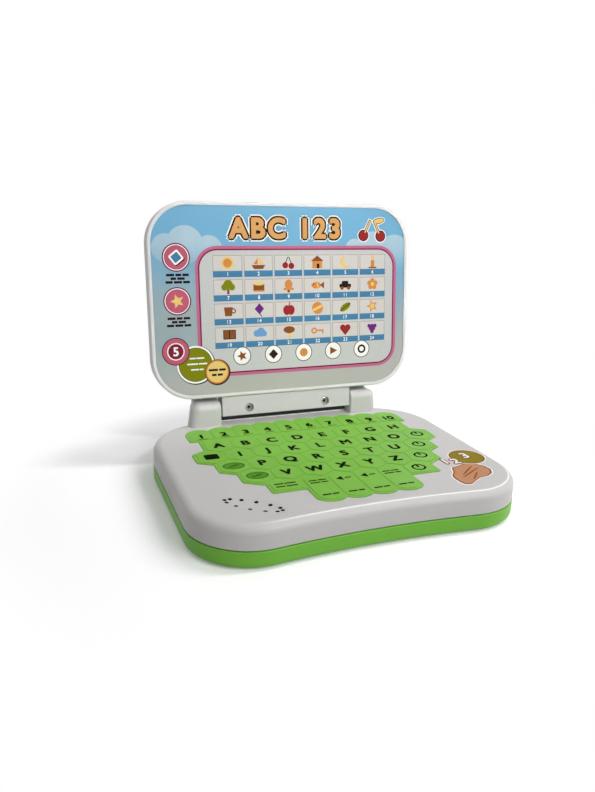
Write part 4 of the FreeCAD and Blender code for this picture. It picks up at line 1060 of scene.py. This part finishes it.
@dataclass
class PicturePanel:
    """The print on the lid: a pink frame of picture cells, a title and round badges."""

    plane: LidPlane
    card_height: float = 7.6
    frame_left: float = -60.3
    frame_right: float = 80.8
    frame_low: float = 22.8
    frame_high: float = 105.2
    frame_corner: float = 14.0
    pink_line: float = 1.9
    plum_line: float = 0.9
    columns: int = 6
    column_pitch: float = 20.4
    row_pitch: float = 15.0
    cells_middle: float = 11.6
    first_row: float = 92.6
    cell_width: float = 19.2
    cell_height: float = 13.6
    cell_line: float = 0.4
    label_height: float = 3.9
    label_size: float = 2.3
    button_row: float = 35.4
    button_pitch: float = 21.5
    button_width: float = 11.0
    button_line: float = 0.5
    title_middle: Point = (0.0, 116.1)
    title_size: float = 12.4
    title_pens: tuple[tuple[Ink, float], ...] = ((Ink.WHITE, 2.7), (Ink.UMBER, 1.9), (Ink.TITLE, 0.8))
    cherry_spots: tuple[Point, ...] = ((55.6, 111.8), (68.4, 111.4))
    cherry_width: float = 6.4
    stem_width: float = 1.0
    square_badge: Point = (-71.8, 98.3)
    square_width: float = 7.2
    square_turn: float = 38.0
    star_badge: Point = (-72.1, 71.7)
    olive_badge: Point = (-62.1, 31.5)
    number_badge: Point = (-74.4, 40.5)
    gold_badge: Point = (-48.3, 26.1)
    shadow_step: float = 0.3

    def rounded(self, ink: Ink, inset: float) -> Stroke:
        """Describe the frame's outline.

        Args:
            ink: The ink.
            inset: How far the outline is drawn in.

        Returns:
            The stroke.
        """
        return block(ink, (self.frame_left + self.frame_right) / 2, (self.frame_low + self.frame_high) / 2,
                     self.frame_right - self.frame_left - 2 * inset,
                     self.frame_high - self.frame_low - 2 * inset, 0, self.frame_corner - inset)

    def build(self) -> None:
        """Print the whole panel."""
        sheet = PrintSheet("lid_print", self.plane.matrix(self.card_height), Body.LID, "printed_card")
        sheet.draw(self.rounded(Ink.PINK, 0.0), 0)
        sheet.draw(self.rounded(Ink.PLUM, self.pink_line), 1)
        sheet.draw(self.rounded(Ink.PANEL, self.pink_line + self.plum_line), 2)
        self.picture_cells(sheet)
        self.round_buttons(sheet)
        self.title(sheet)
        self.cherries(sheet)
        self.upper_badges(sheet)
        self.lower_badges(sheet)
        sheet.finish(ink_finishes("lid_ink"))

    def picture_cells(self, sheet: PrintSheet) -> None:
        """Print the cells, each with a picture over a numbered label.

        Args:
            sheet: The sheet to print on.
        """
        for number, motif in enumerate(Motif):
            row, column = divmod(number, self.columns)
            u = self.cells_middle + (column - (self.columns - 1) / 2) * self.column_pitch
            v = self.first_row - row * self.row_pitch
            label_v = v - (self.cell_height - self.label_height) / 2
            inner_width = self.cell_width - 2 * self.cell_line
            inner_height = self.cell_height - 2 * self.cell_line
            sheet.draw(block(Ink.TAUPE, u, v, self.cell_width, self.cell_height), 3)
            sheet.draw(block(Ink.PAPER, u, v, inner_width, inner_height), 4)
            sheet.draw(block(Ink.LABEL, u, label_v, self.cell_width, self.label_height), 5)
            sheet.words(Ink.WHITE, str(number + 1), 6, u, label_v, self.label_size, pen=0.1, strikes=2,
                        spacing=1.1)
            sheet.motif(motif, 5, u, v + self.label_height / 2)

    def round_buttons(self, sheet: PrintSheet) -> None:
        """Print the row of round marks under the cells.

        Args:
            sheet: The sheet to print on.
        """
        marks = (burst(Ink.BROWN, 0, 0, 7, 5, 0.45), block(Ink.UMBER, 0, 0, 4.6, 4.6, 45),
                 blob(Ink.ORANGE, 0, 0, 5.6), patch(Ink.BROWN, (-2.2, -2.6), (3, 0), (-2.2, 2.6)),
                 loop(Ink.UMBER, 0, 0, 6, 1.3))
        films = ((Ink.UMBER, self.button_width + 2 * self.button_line), (Ink.WHITE, self.button_width))
        for number, mark in enumerate(marks):
            u = self.cells_middle + (number - (len(marks) - 1) / 2) * self.button_pitch
            self.disc(sheet, (u, self.button_row), 3, films)
            sheet.draw(mark, 5, u, self.button_row)

    def title(self, sheet: PrintSheet) -> None:
        """Print the big letters and numbers, a halo and an outline first.

        Args:
            sheet: The sheet to print on.
        """
        level = 0
        for ink, pen in self.title_pens:
            level = sheet.words(ink, "ABC 123", level, *self.title_middle, self.title_size, pen, strikes=8,
                                spacing=1.25)

    def cherries(self, sheet: PrintSheet) -> None:
        """Print the two cherries, their stems and their leaf, a halo and an outline first.

        Args:
            sheet: The sheet to print on.
        """
        for order, (ink, grow) in enumerate(((Ink.WHITE, 2.4), (Ink.UMBER, 1.2), (Ink.RED, 0.0))):
            for u, v in self.cherry_spots:
                sheet.draw(blob(ink, u, v, self.cherry_width + grow), 4 * order)
        for order, (ink, grow) in enumerate(((Ink.WHITE, 2.0), (Ink.UMBER, 0.9), (Ink.YELLOW, 0.0))):
            stem = self.stem_width + grow
            sheet.draw(block(ink, 58.6, 117.6, stem, 8.6 + grow, -26), 4 * order + 1)
            sheet.draw(block(ink, 65.4, 117.4, stem, 9.0 + grow, 24), 4 * order + 2)
            sheet.draw(blob(ink, 67.0, 121.4, 8.0 + grow, 3.0 + grow, 12), 4 * order + 3)

    def upper_badges(self, sheet: PrintSheet) -> None:
        """Print the two rose badges with their small print, a square in one and a star in the other.

        Args:
            sheet: The sheet to print on.
        """
        films = ((Ink.PLUM, 17.4), (Ink.WHITE, 15.8), (Ink.PLUM, 14.6), (Ink.ROSE, 14.0))
        lines = ((5.0, 3.6, 4.0), (3.4, 4.6), (4.4, 5.0, 4.2))
        for u, v in (self.square_badge, self.star_badge):
            self.disc(sheet, (u, v), 3, films)
            sheet.small_lines(Ink.UMBER, 3, u + 0.5, v - 10.6, lines, height=1.5, pitch=2.2)
        u, v = self.square_badge
        sheet.draw(block(Ink.UMBER, u + 0.4, v - 0.4, self.square_width + 0.4, self.square_width + 0.4,
                         self.square_turn, 1.0), 7)
        sheet.draw(block(Ink.WHITE, u, v, self.square_width, self.square_width, self.square_turn, 1.0), 8)
        sheet.draw(block(Ink.LABEL, u, v, 5.0, 5.0, self.square_turn, 0.6), 9)
        sheet.draw(burst(Ink.YELLOW, *self.star_badge, 9.0, 5, 0.45), 7)

    def lower_badges(self, sheet: PrintSheet) -> None:
        """Print the olive badge, the numbered one and the gold one, which overlap.

        Args:
            sheet: The sheet to print on.
        """
        u, v = self.olive_badge
        self.disc(sheet, (u + self.shadow_step, v - self.shadow_step), 3, ((Ink.UMBER, 25.0),))
        self.disc(sheet, (u, v), 4, ((Ink.WHITE, 24.2), (Ink.UMBER, 21.8), (Ink.OLIVE, 21.2)))
        sheet.small_lines(Ink.WHITE, 7, u + 0.9, v + 4.1, ((4.0, 5.0), (7.0, 5.4), (5.0, 2.6)),
                          height=0.9, pitch=3.6)
        self.disc(sheet, self.number_badge, 8, ((Ink.UMBER, 17.4), (Ink.ROSE, 16.4), (Ink.WHITE, 11.0),
                                                (Ink.MAROON, 9.6)))
        sheet.words(Ink.WHITE, "5", 12, *self.number_badge, 5.6, pen=0.3)
        u, v = self.gold_badge
        self.disc(sheet, (u + self.shadow_step, v - self.shadow_step), 8, ((Ink.UMBER, 16.8),))
        self.disc(sheet, (u, v), 9, ((Ink.BROWN, 16.0), (Ink.ORANGE, 15.0), (Ink.YELLOW, 13.6)))
        sheet.small_lines(Ink.UMBER, 12, u, v + 1.3, ((6.0, 4.4), (3.0, 3.4)), height=1.4, pitch=3.2)

    def disc(self, sheet: PrintSheet, spot: Point, level: int, films: Sequence[tuple[Ink, float]]) -> None:
        """Print round films over each other.

        Args:
            sheet: The sheet to print on.
            spot: The middle of them all.
            level: How many films of ink lie under the first.
            films: The ink and the width of each.
        """
        for order, (ink, width) in enumerate(films):
            sheet.draw(blob(ink, *spot, width), level + order)


@dataclass
class KeyLegends:
    """The letters, numbers and marks on the keys."""

    middle: float = 1.5
    first_row: float = 28.3
    key_pitch: float = 17.0
    row_pitch: float = 16.5
    number_keys: int = 10
    number_pitch: float = 14.6
    number_low: float = 39.7
    number_high: float = 54.0
    number_sag: float = 3.8
    number_lift: float = 1.0
    number_share: float = 0.9
    underline_drop: float = 5.0
    tall_keys: int = 4
    tall_pitch: float = 14.8
    tall_high: float = -33.2
    tall_low: float = -58.5
    key_top: float = 24.0
    letter_size: float = 7.0
    pen: float = 0.56
    end_step: float = 40.3
    end_row: float = -37.2
    rows: tuple[str, ...] = ("ABCDEFGH", " IJKLMNO ", " PQRSTU ", " VWXYZ ")

    def build(self) -> None:
        """Print every key."""
        sheet = PrintSheet("key_print", Matrix.Scale(MM, 4) @ Matrix.Translation((0, 0, self.key_top)),
                           Body.BASE, "key_sheet")
        self.letters(sheet)
        self.numbers(sheet)
        self.end_marks(sheet)
        self.tall_marks(sheet)
        sheet.finish(ink_finishes("key_ink"))

    def letters(self, sheet: PrintSheet) -> None:
        """Print the alphabet.

        Args:
            sheet: The sheet to print on.
        """
        for row, letters in enumerate(self.rows):
            for column, letter in enumerate(letters):
                if letter != " ":
                    u = self.middle + (column - (len(letters) - 1) / 2) * self.key_pitch
                    v = self.first_row - row * self.row_pitch
                    sheet.words(Ink.LEGEND, letter, 0, u, v, self.letter_size, self.pen)

    def numbers(self, sheet: PrintSheet) -> None:
        """Print the numbers along the back row, which sags towards its ends.

        Args:
            sheet: The sheet to print on.
        """
        half = (self.number_keys - 1) / 2
        for key in range(self.number_keys):
            place = (key - half) / half
            high = self.number_high - self.number_sag * place ** 2
            u = self.middle + place * half * self.number_pitch
            v = (self.number_low + high) / 2 + self.number_lift
            sheet.words(Ink.LEGEND, str(key + 1), 0, u, v, self.letter_size * self.number_share, self.pen)
            sheet.draw(block(Ink.LEGEND, u, v - self.underline_drop, 6.0, 0.7), 0)

    def end_marks(self, sheet: PrintSheet) -> None:
        """Print the marks on the keys at the ends of the rows.

        Args:
            sheet: The sheet to print on.
        """
        for row in (1, 2, 3):
            half = (len(self.rows[row]) - 1) / 2 * self.key_pitch
            v = self.first_row - row * self.row_pitch
            left = self.middle - half
            if row == 1:
                sheet.draw(block(Ink.LEGEND, left, v, 8.4, 7.6, 0, 1.2), 0)
            else:
                sheet.draw(blob(Ink.MOSS, left, v, 13.0, 9.6), 0)
                sheet.draw(blob(Ink.LEGEND, left, v, 8.0, 0.9, 24), 1)
                sheet.draw(loop(Ink.LEGEND, left, v, 12.0, 0.35, 8.4), 2)
            self.round_mark(sheet, self.middle + half, v)
        sheet.small_lines(Ink.LEGEND, 0, self.middle - self.end_step, self.end_row + 1.7,
                          ((5.0, 6.4), (5.0, 6.4)), height=1.3, pitch=3.4)
        self.round_mark(sheet, self.middle + self.end_step, self.end_row)

    def round_mark(self, sheet: PrintSheet, u: float, v: float) -> None:
        """Print a dark ring with a short bar in it."""
        sheet.draw(loop(Ink.LEGEND, u, v, 8.6, 1.2, 8.0), 0)
        sheet.draw(block(Ink.LEGEND, u, v + 2.2, 1.3, 4.4), 1)

    def tall_marks(self, sheet: PrintSheet) -> None:
        """Print the marks at both ends of the tall keys, with arrows on the middle two.

        Args:
            sheet: The sheet to print on.
        """
        high = self.tall_high - 5.0
        for key in range(self.tall_keys):
            u = self.middle + (key - (self.tall_keys - 1) / 2) * self.tall_pitch
            if key in (1, 2):
                sheet.draw(patch(Ink.LEGEND, (-4.6, 0), (-0.6, 2.6), (-0.6, -2.6)), 0, u, high)
                sheet.draw(block(Ink.LEGEND, u + 2.6, high, 3.6, 1.2), 0)
            else:
                sheet.small_lines(Ink.LEGEND, 0, u, high + 1.4, ((4.6, 5.0), (6.0, 3.8)), height=1.2,
                                  pitch=2.8)
            sheet.small_print(Ink.LEGEND, 0, u, self.tall_low + 3.6, (5.0, 3.6), 1.4)


@dataclass
class DeckSticker:
    """The small print on the right of the deck: a leaf, a round badge and three numbers."""

    deck: float = 23.4
    u: float = 78.4
    v: float = -30.8
    leaf_u: float = 67.0
    leaf_v: float = -51.6
    leaf: tuple[Point, ...] = (
        (-13.0, -5.0), (-12.4, -1.4), (-8.6, 3.4), (-6.2, 8.8), (-2.0, 9.6), (4.0, 11.8), (9.0, 9.6),
        (12.4, 5.6), (13.0, 0.6), (10.6, -4.0), (6.4, -6.6), (0.4, -7.4), (-4.4, -10.4), (-8.0, -13.0),
        (-11.6, -12.4), (-12.8, -9.4))
    leaf_films: tuple[tuple[Ink, float], ...] = ((Ink.WHITE, 1.14), (Ink.BROWN, 1.06), (Ink.SALMON, 0.98))
    badge_films: tuple[tuple[Ink, float], ...] = ((Ink.WHITE, 22.6), (Ink.BROWN, 21.2), (Ink.MUSTARD, 19.8))
    vein_width: float = 0.9
    numbers: tuple[tuple[str, float, float, float], ...] = (
        ("3", -0.4, 2.0, 7.4), ("2", -10.6, -4.0, 7.0), ("1", -17.0, -2.6, 7.0))

    def build(self) -> None:
        """Print each shape in films: a halo, an outline, the colour and its lines."""
        sheet = PrintSheet("deck_print", Matrix.Scale(MM, 4) @ Matrix.Translation((0, 0, self.deck)),
                           Body.BASE, "white_plastic")
        for level, (ink, scale) in enumerate(self.leaf_films):
            sheet.draw(patch(ink, *self.leaf), level, self.leaf_u, self.leaf_v, scale)
        for turn, length, lift in ((38.0, 17.0, 3.2), (30.0, 20.0, 0.0), (46.0, 12.0, -4.6)):
            vein = blob(Ink.BROWN, self.leaf_u, self.leaf_v + lift, length, self.vein_width, turn)
            sheet.draw(vein, len(self.leaf_films))
        for level, (ink, width) in enumerate(self.badge_films, len(self.leaf_films) + 1):
            sheet.draw(blob(ink, self.u, self.v, width), level)
        for number, du, dv, size in self.numbers:
            level = sheet.words(Ink.BROWN, number, 7, self.u + du, self.v + dv, size, pen=1.1, strikes=8)
            sheet.words(Ink.WHITE, number, level, self.u + du, self.v + dv, size, pen=0.4)
        sheet.finish(ink_finishes("deck_ink"))


@dataclass
class Casing:
    """The moulded shells of the base and the lid."""

    deck: DeckPlastic = DeckPlastic("white_deck", linear(199, 197, 196), linear(189, 187, 186), gloss=0.18)
    bar: MouldedPlastic = MouldedPlastic("white_bar", linear(201, 196, 199), linear(191, 186, 189))
    lid: MouldedPlastic = MouldedPlastic("white_lid", linear(224, 223, 223), linear(215, 214, 214),
                                         gloss=0.06, specular=0.08)
    green: MouldedPlastic = MouldedPlastic("green_tray", linear(116, 185, 62), linear(106, 172, 54),
                                           gloss=0.1, specular=0.2)
    rubber: SoftRubber = SoftRubber("foot_rubber_grey", linear(66, 66, 68), linear(38, 38, 40), 0.8, 0.03)

    def dress(self) -> None:
        """Dress the shells, the door and the feet."""
        dress("top_case", self.deck)
        dress("hinge_cover", self.bar)
        for node in ("lid_back", "lid_front"):
            dress(node, self.lid)
        for node in ("bottom_case", "battery_door"):
            dress(node, self.green)
        dress("feet", self.rubber)


@dataclass
class KeyStack:
    """The sheet, the spacer and the circuit film under the keys."""

    sheet: KeySheetPlastic = KeySheetPlastic()
    spacer: ClearFilm = ClearFilm("spacer_film", linear(210, 220, 216))
    circuit: CircuitBoard = CircuitBoard("circuit_film_silver", linear(186, 196, 190),
                                         linear(120, 124, 128), 7.0, 0.8)

    def dress(self) -> None:
        """Dress the three films."""
        dress("keypad_overlay", self.sheet)
        dress("keypad_spacer", self.spacer)
        dress("keypad_circuit", self.circuit)


@dataclass
class HingeGap:
    """A dark strip of painted shade in the gap under the hinge bar."""

    plane: LidPlane
    half_length: float = 45.3
    low: float = -7.6
    high: float = -3.8
    thickness: float = 0.3
    edge_share: float = 0.25
    # painted shade: a dark piece stands in for the shadow in the gap under the hinge bar
    shade_strip: SoftRubber = SoftRubber("gap_painted_shade", linear(34, 33, 34), linear(16, 16, 17), 0.5, 0.05)

    def build(self) -> None:
        """Lay the dark strip of painted shade on the flat of the hinge barrel."""
        shape = bmesh.new()
        bmesh.ops.create_cube(shape, size=1.0)
        bmesh.ops.scale(shape, verts=shape.verts,
                        vec=(2 * self.half_length, self.high - self.low, self.thickness))
        bmesh.ops.translate(shape, verts=shape.verts, vec=(0, (self.high + self.low) / 2, 0))
        bmesh.ops.bevel(shape, geom=shape.edges[:], offset=self.thickness * self.edge_share, segments=2,
                        profile=0.5, affect="EDGES", material=-1)
        bmesh.ops.transform(shape, matrix=self.plane.matrix(self.thickness / 2), verts=shape.verts)
        mesh = bpy.data.meshes.new("hinge_gap_painted_shade")
        shape.to_mesh(mesh)
        shape.free()
        mesh.materials.append(self.shade_strip.material())
        strip = bpy.data.objects.new("hinge_gap_painted_shade", mesh)
        bpy.context.scene.collection.objects.link(strip)
        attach(strip, Body.LID.value)
        log.info("laid %s", strip.name)


@dataclass
class Electronics:
    """The board, its parts and the speaker."""

    board: CircuitBoard = CircuitBoard("board_tracks", linear(168, 128, 72), linear(120, 96, 44), 5.0, 0.5)
    potting: MouldedPlastic = MouldedPlastic("chip_potting", linear(34, 34, 36), linear(22, 22, 24),
                                             0.3, 1.6, 0.04, 0.4)
    parts: MouldedPlastic = MouldedPlastic("component_bodies", linear(52, 60, 92), linear(34, 40, 66))
    socket: MouldedPlastic = MouldedPlastic("socket_shell", linear(222, 214, 190), linear(206, 196, 168))
    frame_metal: PlatedMetal = PlatedMetal("speaker_frame_steel", linear(176, 176, 172),
                                           linear(120, 116, 108), 0.34)
    cone: FibreSheet = FibreSheet("cone_paper_black", linear(46, 44, 42), linear(26, 25, 24))
    magnet: SoftRubber = SoftRubber("magnet_ferrite", linear(58, 58, 62), linear(34, 34, 38), 0.6, 0.02)
    foam: SoftRubber = SoftRubber("gasket_foam", linear(62, 62, 64), linear(28, 28, 30), 0.9, 0.12)

    def dress(self) -> None:
        """Dress the board and the speaker."""
        finishes = {"main_board": self.board, "sound_chip": self.potting, "board_parts": self.parts,
                    "tail_socket": self.socket, "speaker_frame": self.frame_metal,
                    "speaker_cone": self.cone, "speaker_magnet": self.magnet,
                    "speaker_gasket": self.foam}
        for node, finish in finishes.items():
            dress(node, finish)


@dataclass
class PowerPack:
    """The dry cells, their contacts and the leads."""

    plates: PlatedMetal = PlatedMetal("contact_plates_steel", linear(196, 196, 192),
                                      linear(150, 142, 126), 0.26)
    leaves: PlatedMetal = PlatedMetal("contact_leaves_spring", linear(190, 188, 182),
                                      linear(146, 138, 122), 0.24, (6.0, 6.0, 1.0))
    red: MouldedPlastic = MouldedPlastic("lead_red", linear(176, 34, 32), linear(140, 24, 24), 0.42, 0.8)
    black: MouldedPlastic = MouldedPlastic("lead_black", linear(40, 40, 42), linear(24, 24, 26), 0.42, 0.8)

    def dress(self) -> None:
        """Dress the battery parts and the leads."""
        low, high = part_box("battery_cells")
        dress("battery_cells", CellJacket(low.x, high.x))
        dress("battery_plates", self.plates)
        dress("battery_leaves", self.leaves)
        dress("battery_lead_positive", self.red)
        dress("battery_lead_negative", self.black)
        dress("speaker_leads", self.black)


@dataclass
class Fasteners:
    """The hinge pins and the screws."""

    steel: PlatedMetal = PlatedMetal("screw_steel", linear(172, 170, 166), linear(104, 98, 90), 0.3)
    # the hinge screws carry painted shade in their cross recesses
    hinge: HingeScrewSteel = HingeScrewSteel("screw_recess_shaded", linear(198, 196, 192), linear(120, 116, 110),
                                             0.26)
    nodes: tuple[str, ...] = ("hinge_pin_left", "hinge_pin_right", "case_screws", "board_screws",
                              "door_screws")

    def dress(self) -> None:
        """Dress the metal fixings."""
        for node in self.nodes:
            dress(node, self.steel)
        dress("hinge_screws", self.hinge)


@dataclass(frozen=True)
class Lamp:
    """A flat lamp, in metres, watts and degrees."""

    name: str
    place: Spot
    aim: Spot
    width: float
    length: float
    power: float
    spread: float = 180.0

    def hang(self) -> None:
        """Hang the lamp and point it at its aim."""
        light = bpy.data.lights.new(self.name, "AREA")
        light.shape = "RECTANGLE"
        light.size = self.width
        light.size_y = self.length
        light.energy = self.power
        light.spread = math.radians(self.spread)
        holder = bpy.data.objects.new(self.name, light)
        turn = (Vector(self.aim) - Vector(self.place)).to_track_quat("-Z", "Y")
        holder.matrix_world = Matrix.Translation(self.place) @ turn.to_matrix().to_4x4()
        bpy.context.scene.collection.objects.link(holder)


@dataclass
class Studio:
    """The pale floor, the soft lamps and the camera."""

    eye: Spot = (-0.1589, -0.3499, 0.1750)
    ahead: Spot = (0.35500, 0.88834, -0.29126)
    upward: Spot = (0.0787, 0.2821, 0.9562)
    focal_pixels: float = 690.42
    image: tuple[int, int] = (595, 792)
    sensor: float = 36.0
    near_clip: float = 0.01
    floor_half: float = 3.0
    floor_level: float = -0.0001
    floor_seen: float = 0.95
    floor_bounce: float = 0.55
    floor_glow: float = 0.17
    fleck_gain: float = 1.04
    fade_start: float = 0.155
    fade_end: float = 0.2
    world_level: float = 0.36
    lamps: tuple[Lamp, ...] = (
        Lamp("key_lamp", (0.62, -1.15, 0.95), (0, 0, 0.05), 0.9, 0.9, 11.6),
        Lamp("strip_lamp", (0.7, -0.1, 1.15), (0, 0, 0.05), 0.12, 0.8, 6.4),
        Lamp("lid_lamp", (0.25, -0.85, 0.75), (0, 0.1, 0.08), 0.1, 0.1, 0.064, 18.0))

    def camera(self) -> None:
        """Set the camera where the photograph was taken from."""
        lens = bpy.data.cameras.new("studio_camera")
        lens.sensor_width = self.sensor
        lens.lens = self.sensor * self.focal_pixels / max(self.image)
        lens.clip_start = self.near_clip
        view = bpy.data.objects.new("studio_camera", lens)
        back = -Vector(self.ahead).normalized()
        side = Vector(self.upward).cross(back).normalized()
        top = back.cross(side)
        turn = Matrix((side, top, back)).transposed().to_4x4()
        view.matrix_world = Matrix.Translation(self.eye) @ turn
        bpy.context.scene.collection.objects.link(view)
        bpy.context.scene.camera = view

    def floor(self) -> None:
        """Lay a pale floor that fades into the white background."""
        mesh = bpy.data.meshes.new("studio_floor")
        shape = bmesh.new()
        bmesh.ops.create_grid(shape, x_segments=1, y_segments=1, size=self.floor_half)
        bmesh.ops.translate(shape, verts=shape.verts, vec=(0, 0, self.floor_level))
        shape.to_mesh(mesh)
        shape.free()
        graph = Graph(bpy.data.materials.new("floor_paper"))
        far = graph.node("ShaderNodeVectorMath", {"operation": "LENGTH"}, {0: graph.place()}, "Value")
        fleck = graph.noise(1.5, 3.0)
        paper, bounce = (
            graph.node("ShaderNodeBsdfPrincipled", {}, {
                "Base Color": graph.blend((level,) * 3, (level * self.fleck_gain,) * 3, fleck),
                "Roughness": 0.8, "Specular IOR Level": 0.0})
            for level in (self.floor_seen, self.floor_bounce))
        seen = graph.seen()
        glow = graph.node("ShaderNodeEmission", {}, {"Strength": self.floor_glow})
        lit = graph.node("ShaderNodeAddShader", {}, {0: paper, 1: glow})
        white = graph.node("ShaderNodeEmission", {}, {"Strength": 1.0})
        near = graph.node("ShaderNodeMixShader", {}, {0: seen, 1: bounce, 2: lit})
        fade = far.rise(self.fade_start, self.fade_end) * seen
        faded = graph.node("ShaderNodeMixShader", {}, {0: fade, 1: near, 2: white})
        mesh.materials.append(graph.output(faded))
        floor = bpy.data.objects.new("studio_floor", mesh)
        bpy.context.scene.collection.objects.link(floor)

    def world(self) -> None:
        """Surround the object with a grey light, seen as white by the camera and by gloss."""
        graph = Graph(bpy.data.worlds.new("studio_world"))
        level = self.world_level + (1 - self.world_level) * graph.seen()
        light = graph.node("ShaderNodeBackground", {}, {"Color": (1.0, 1.0, 1.0), "Strength": level})
        bpy.context.scene.world = graph.output(light, "World")

    def build(self) -> None:
        """Set up the floor, the lamps, the world and the camera."""
        bpy.context.scene.view_settings.view_transform = "Standard"
        self.floor()
        self.world()
        for lamp in self.lamps:
            lamp.hang()
        self.camera()
        log.info("studio ready")


def main() -> None:
    """Dress the solids, print the panel, the keys and the deck, and set the studio."""
    logging.basicConfig(level=logging.INFO, format="%(name)s: %(message)s")
    plane = LidPlane()
    Casing().dress()
    KeyStack().dress()
    Electronics().dress()
    PowerPack().dress()
    Fasteners().dress()
    dress("picture_card", SkyCard(plane))
    # the dark strip of painted shade under the hinge bar
    HingeGap(plane).build()
    PicturePanel(plane).build()
    KeyLegends().build()
    DeckSticker().build()
    Studio().build()


if __name__ == "__main__":
    main()
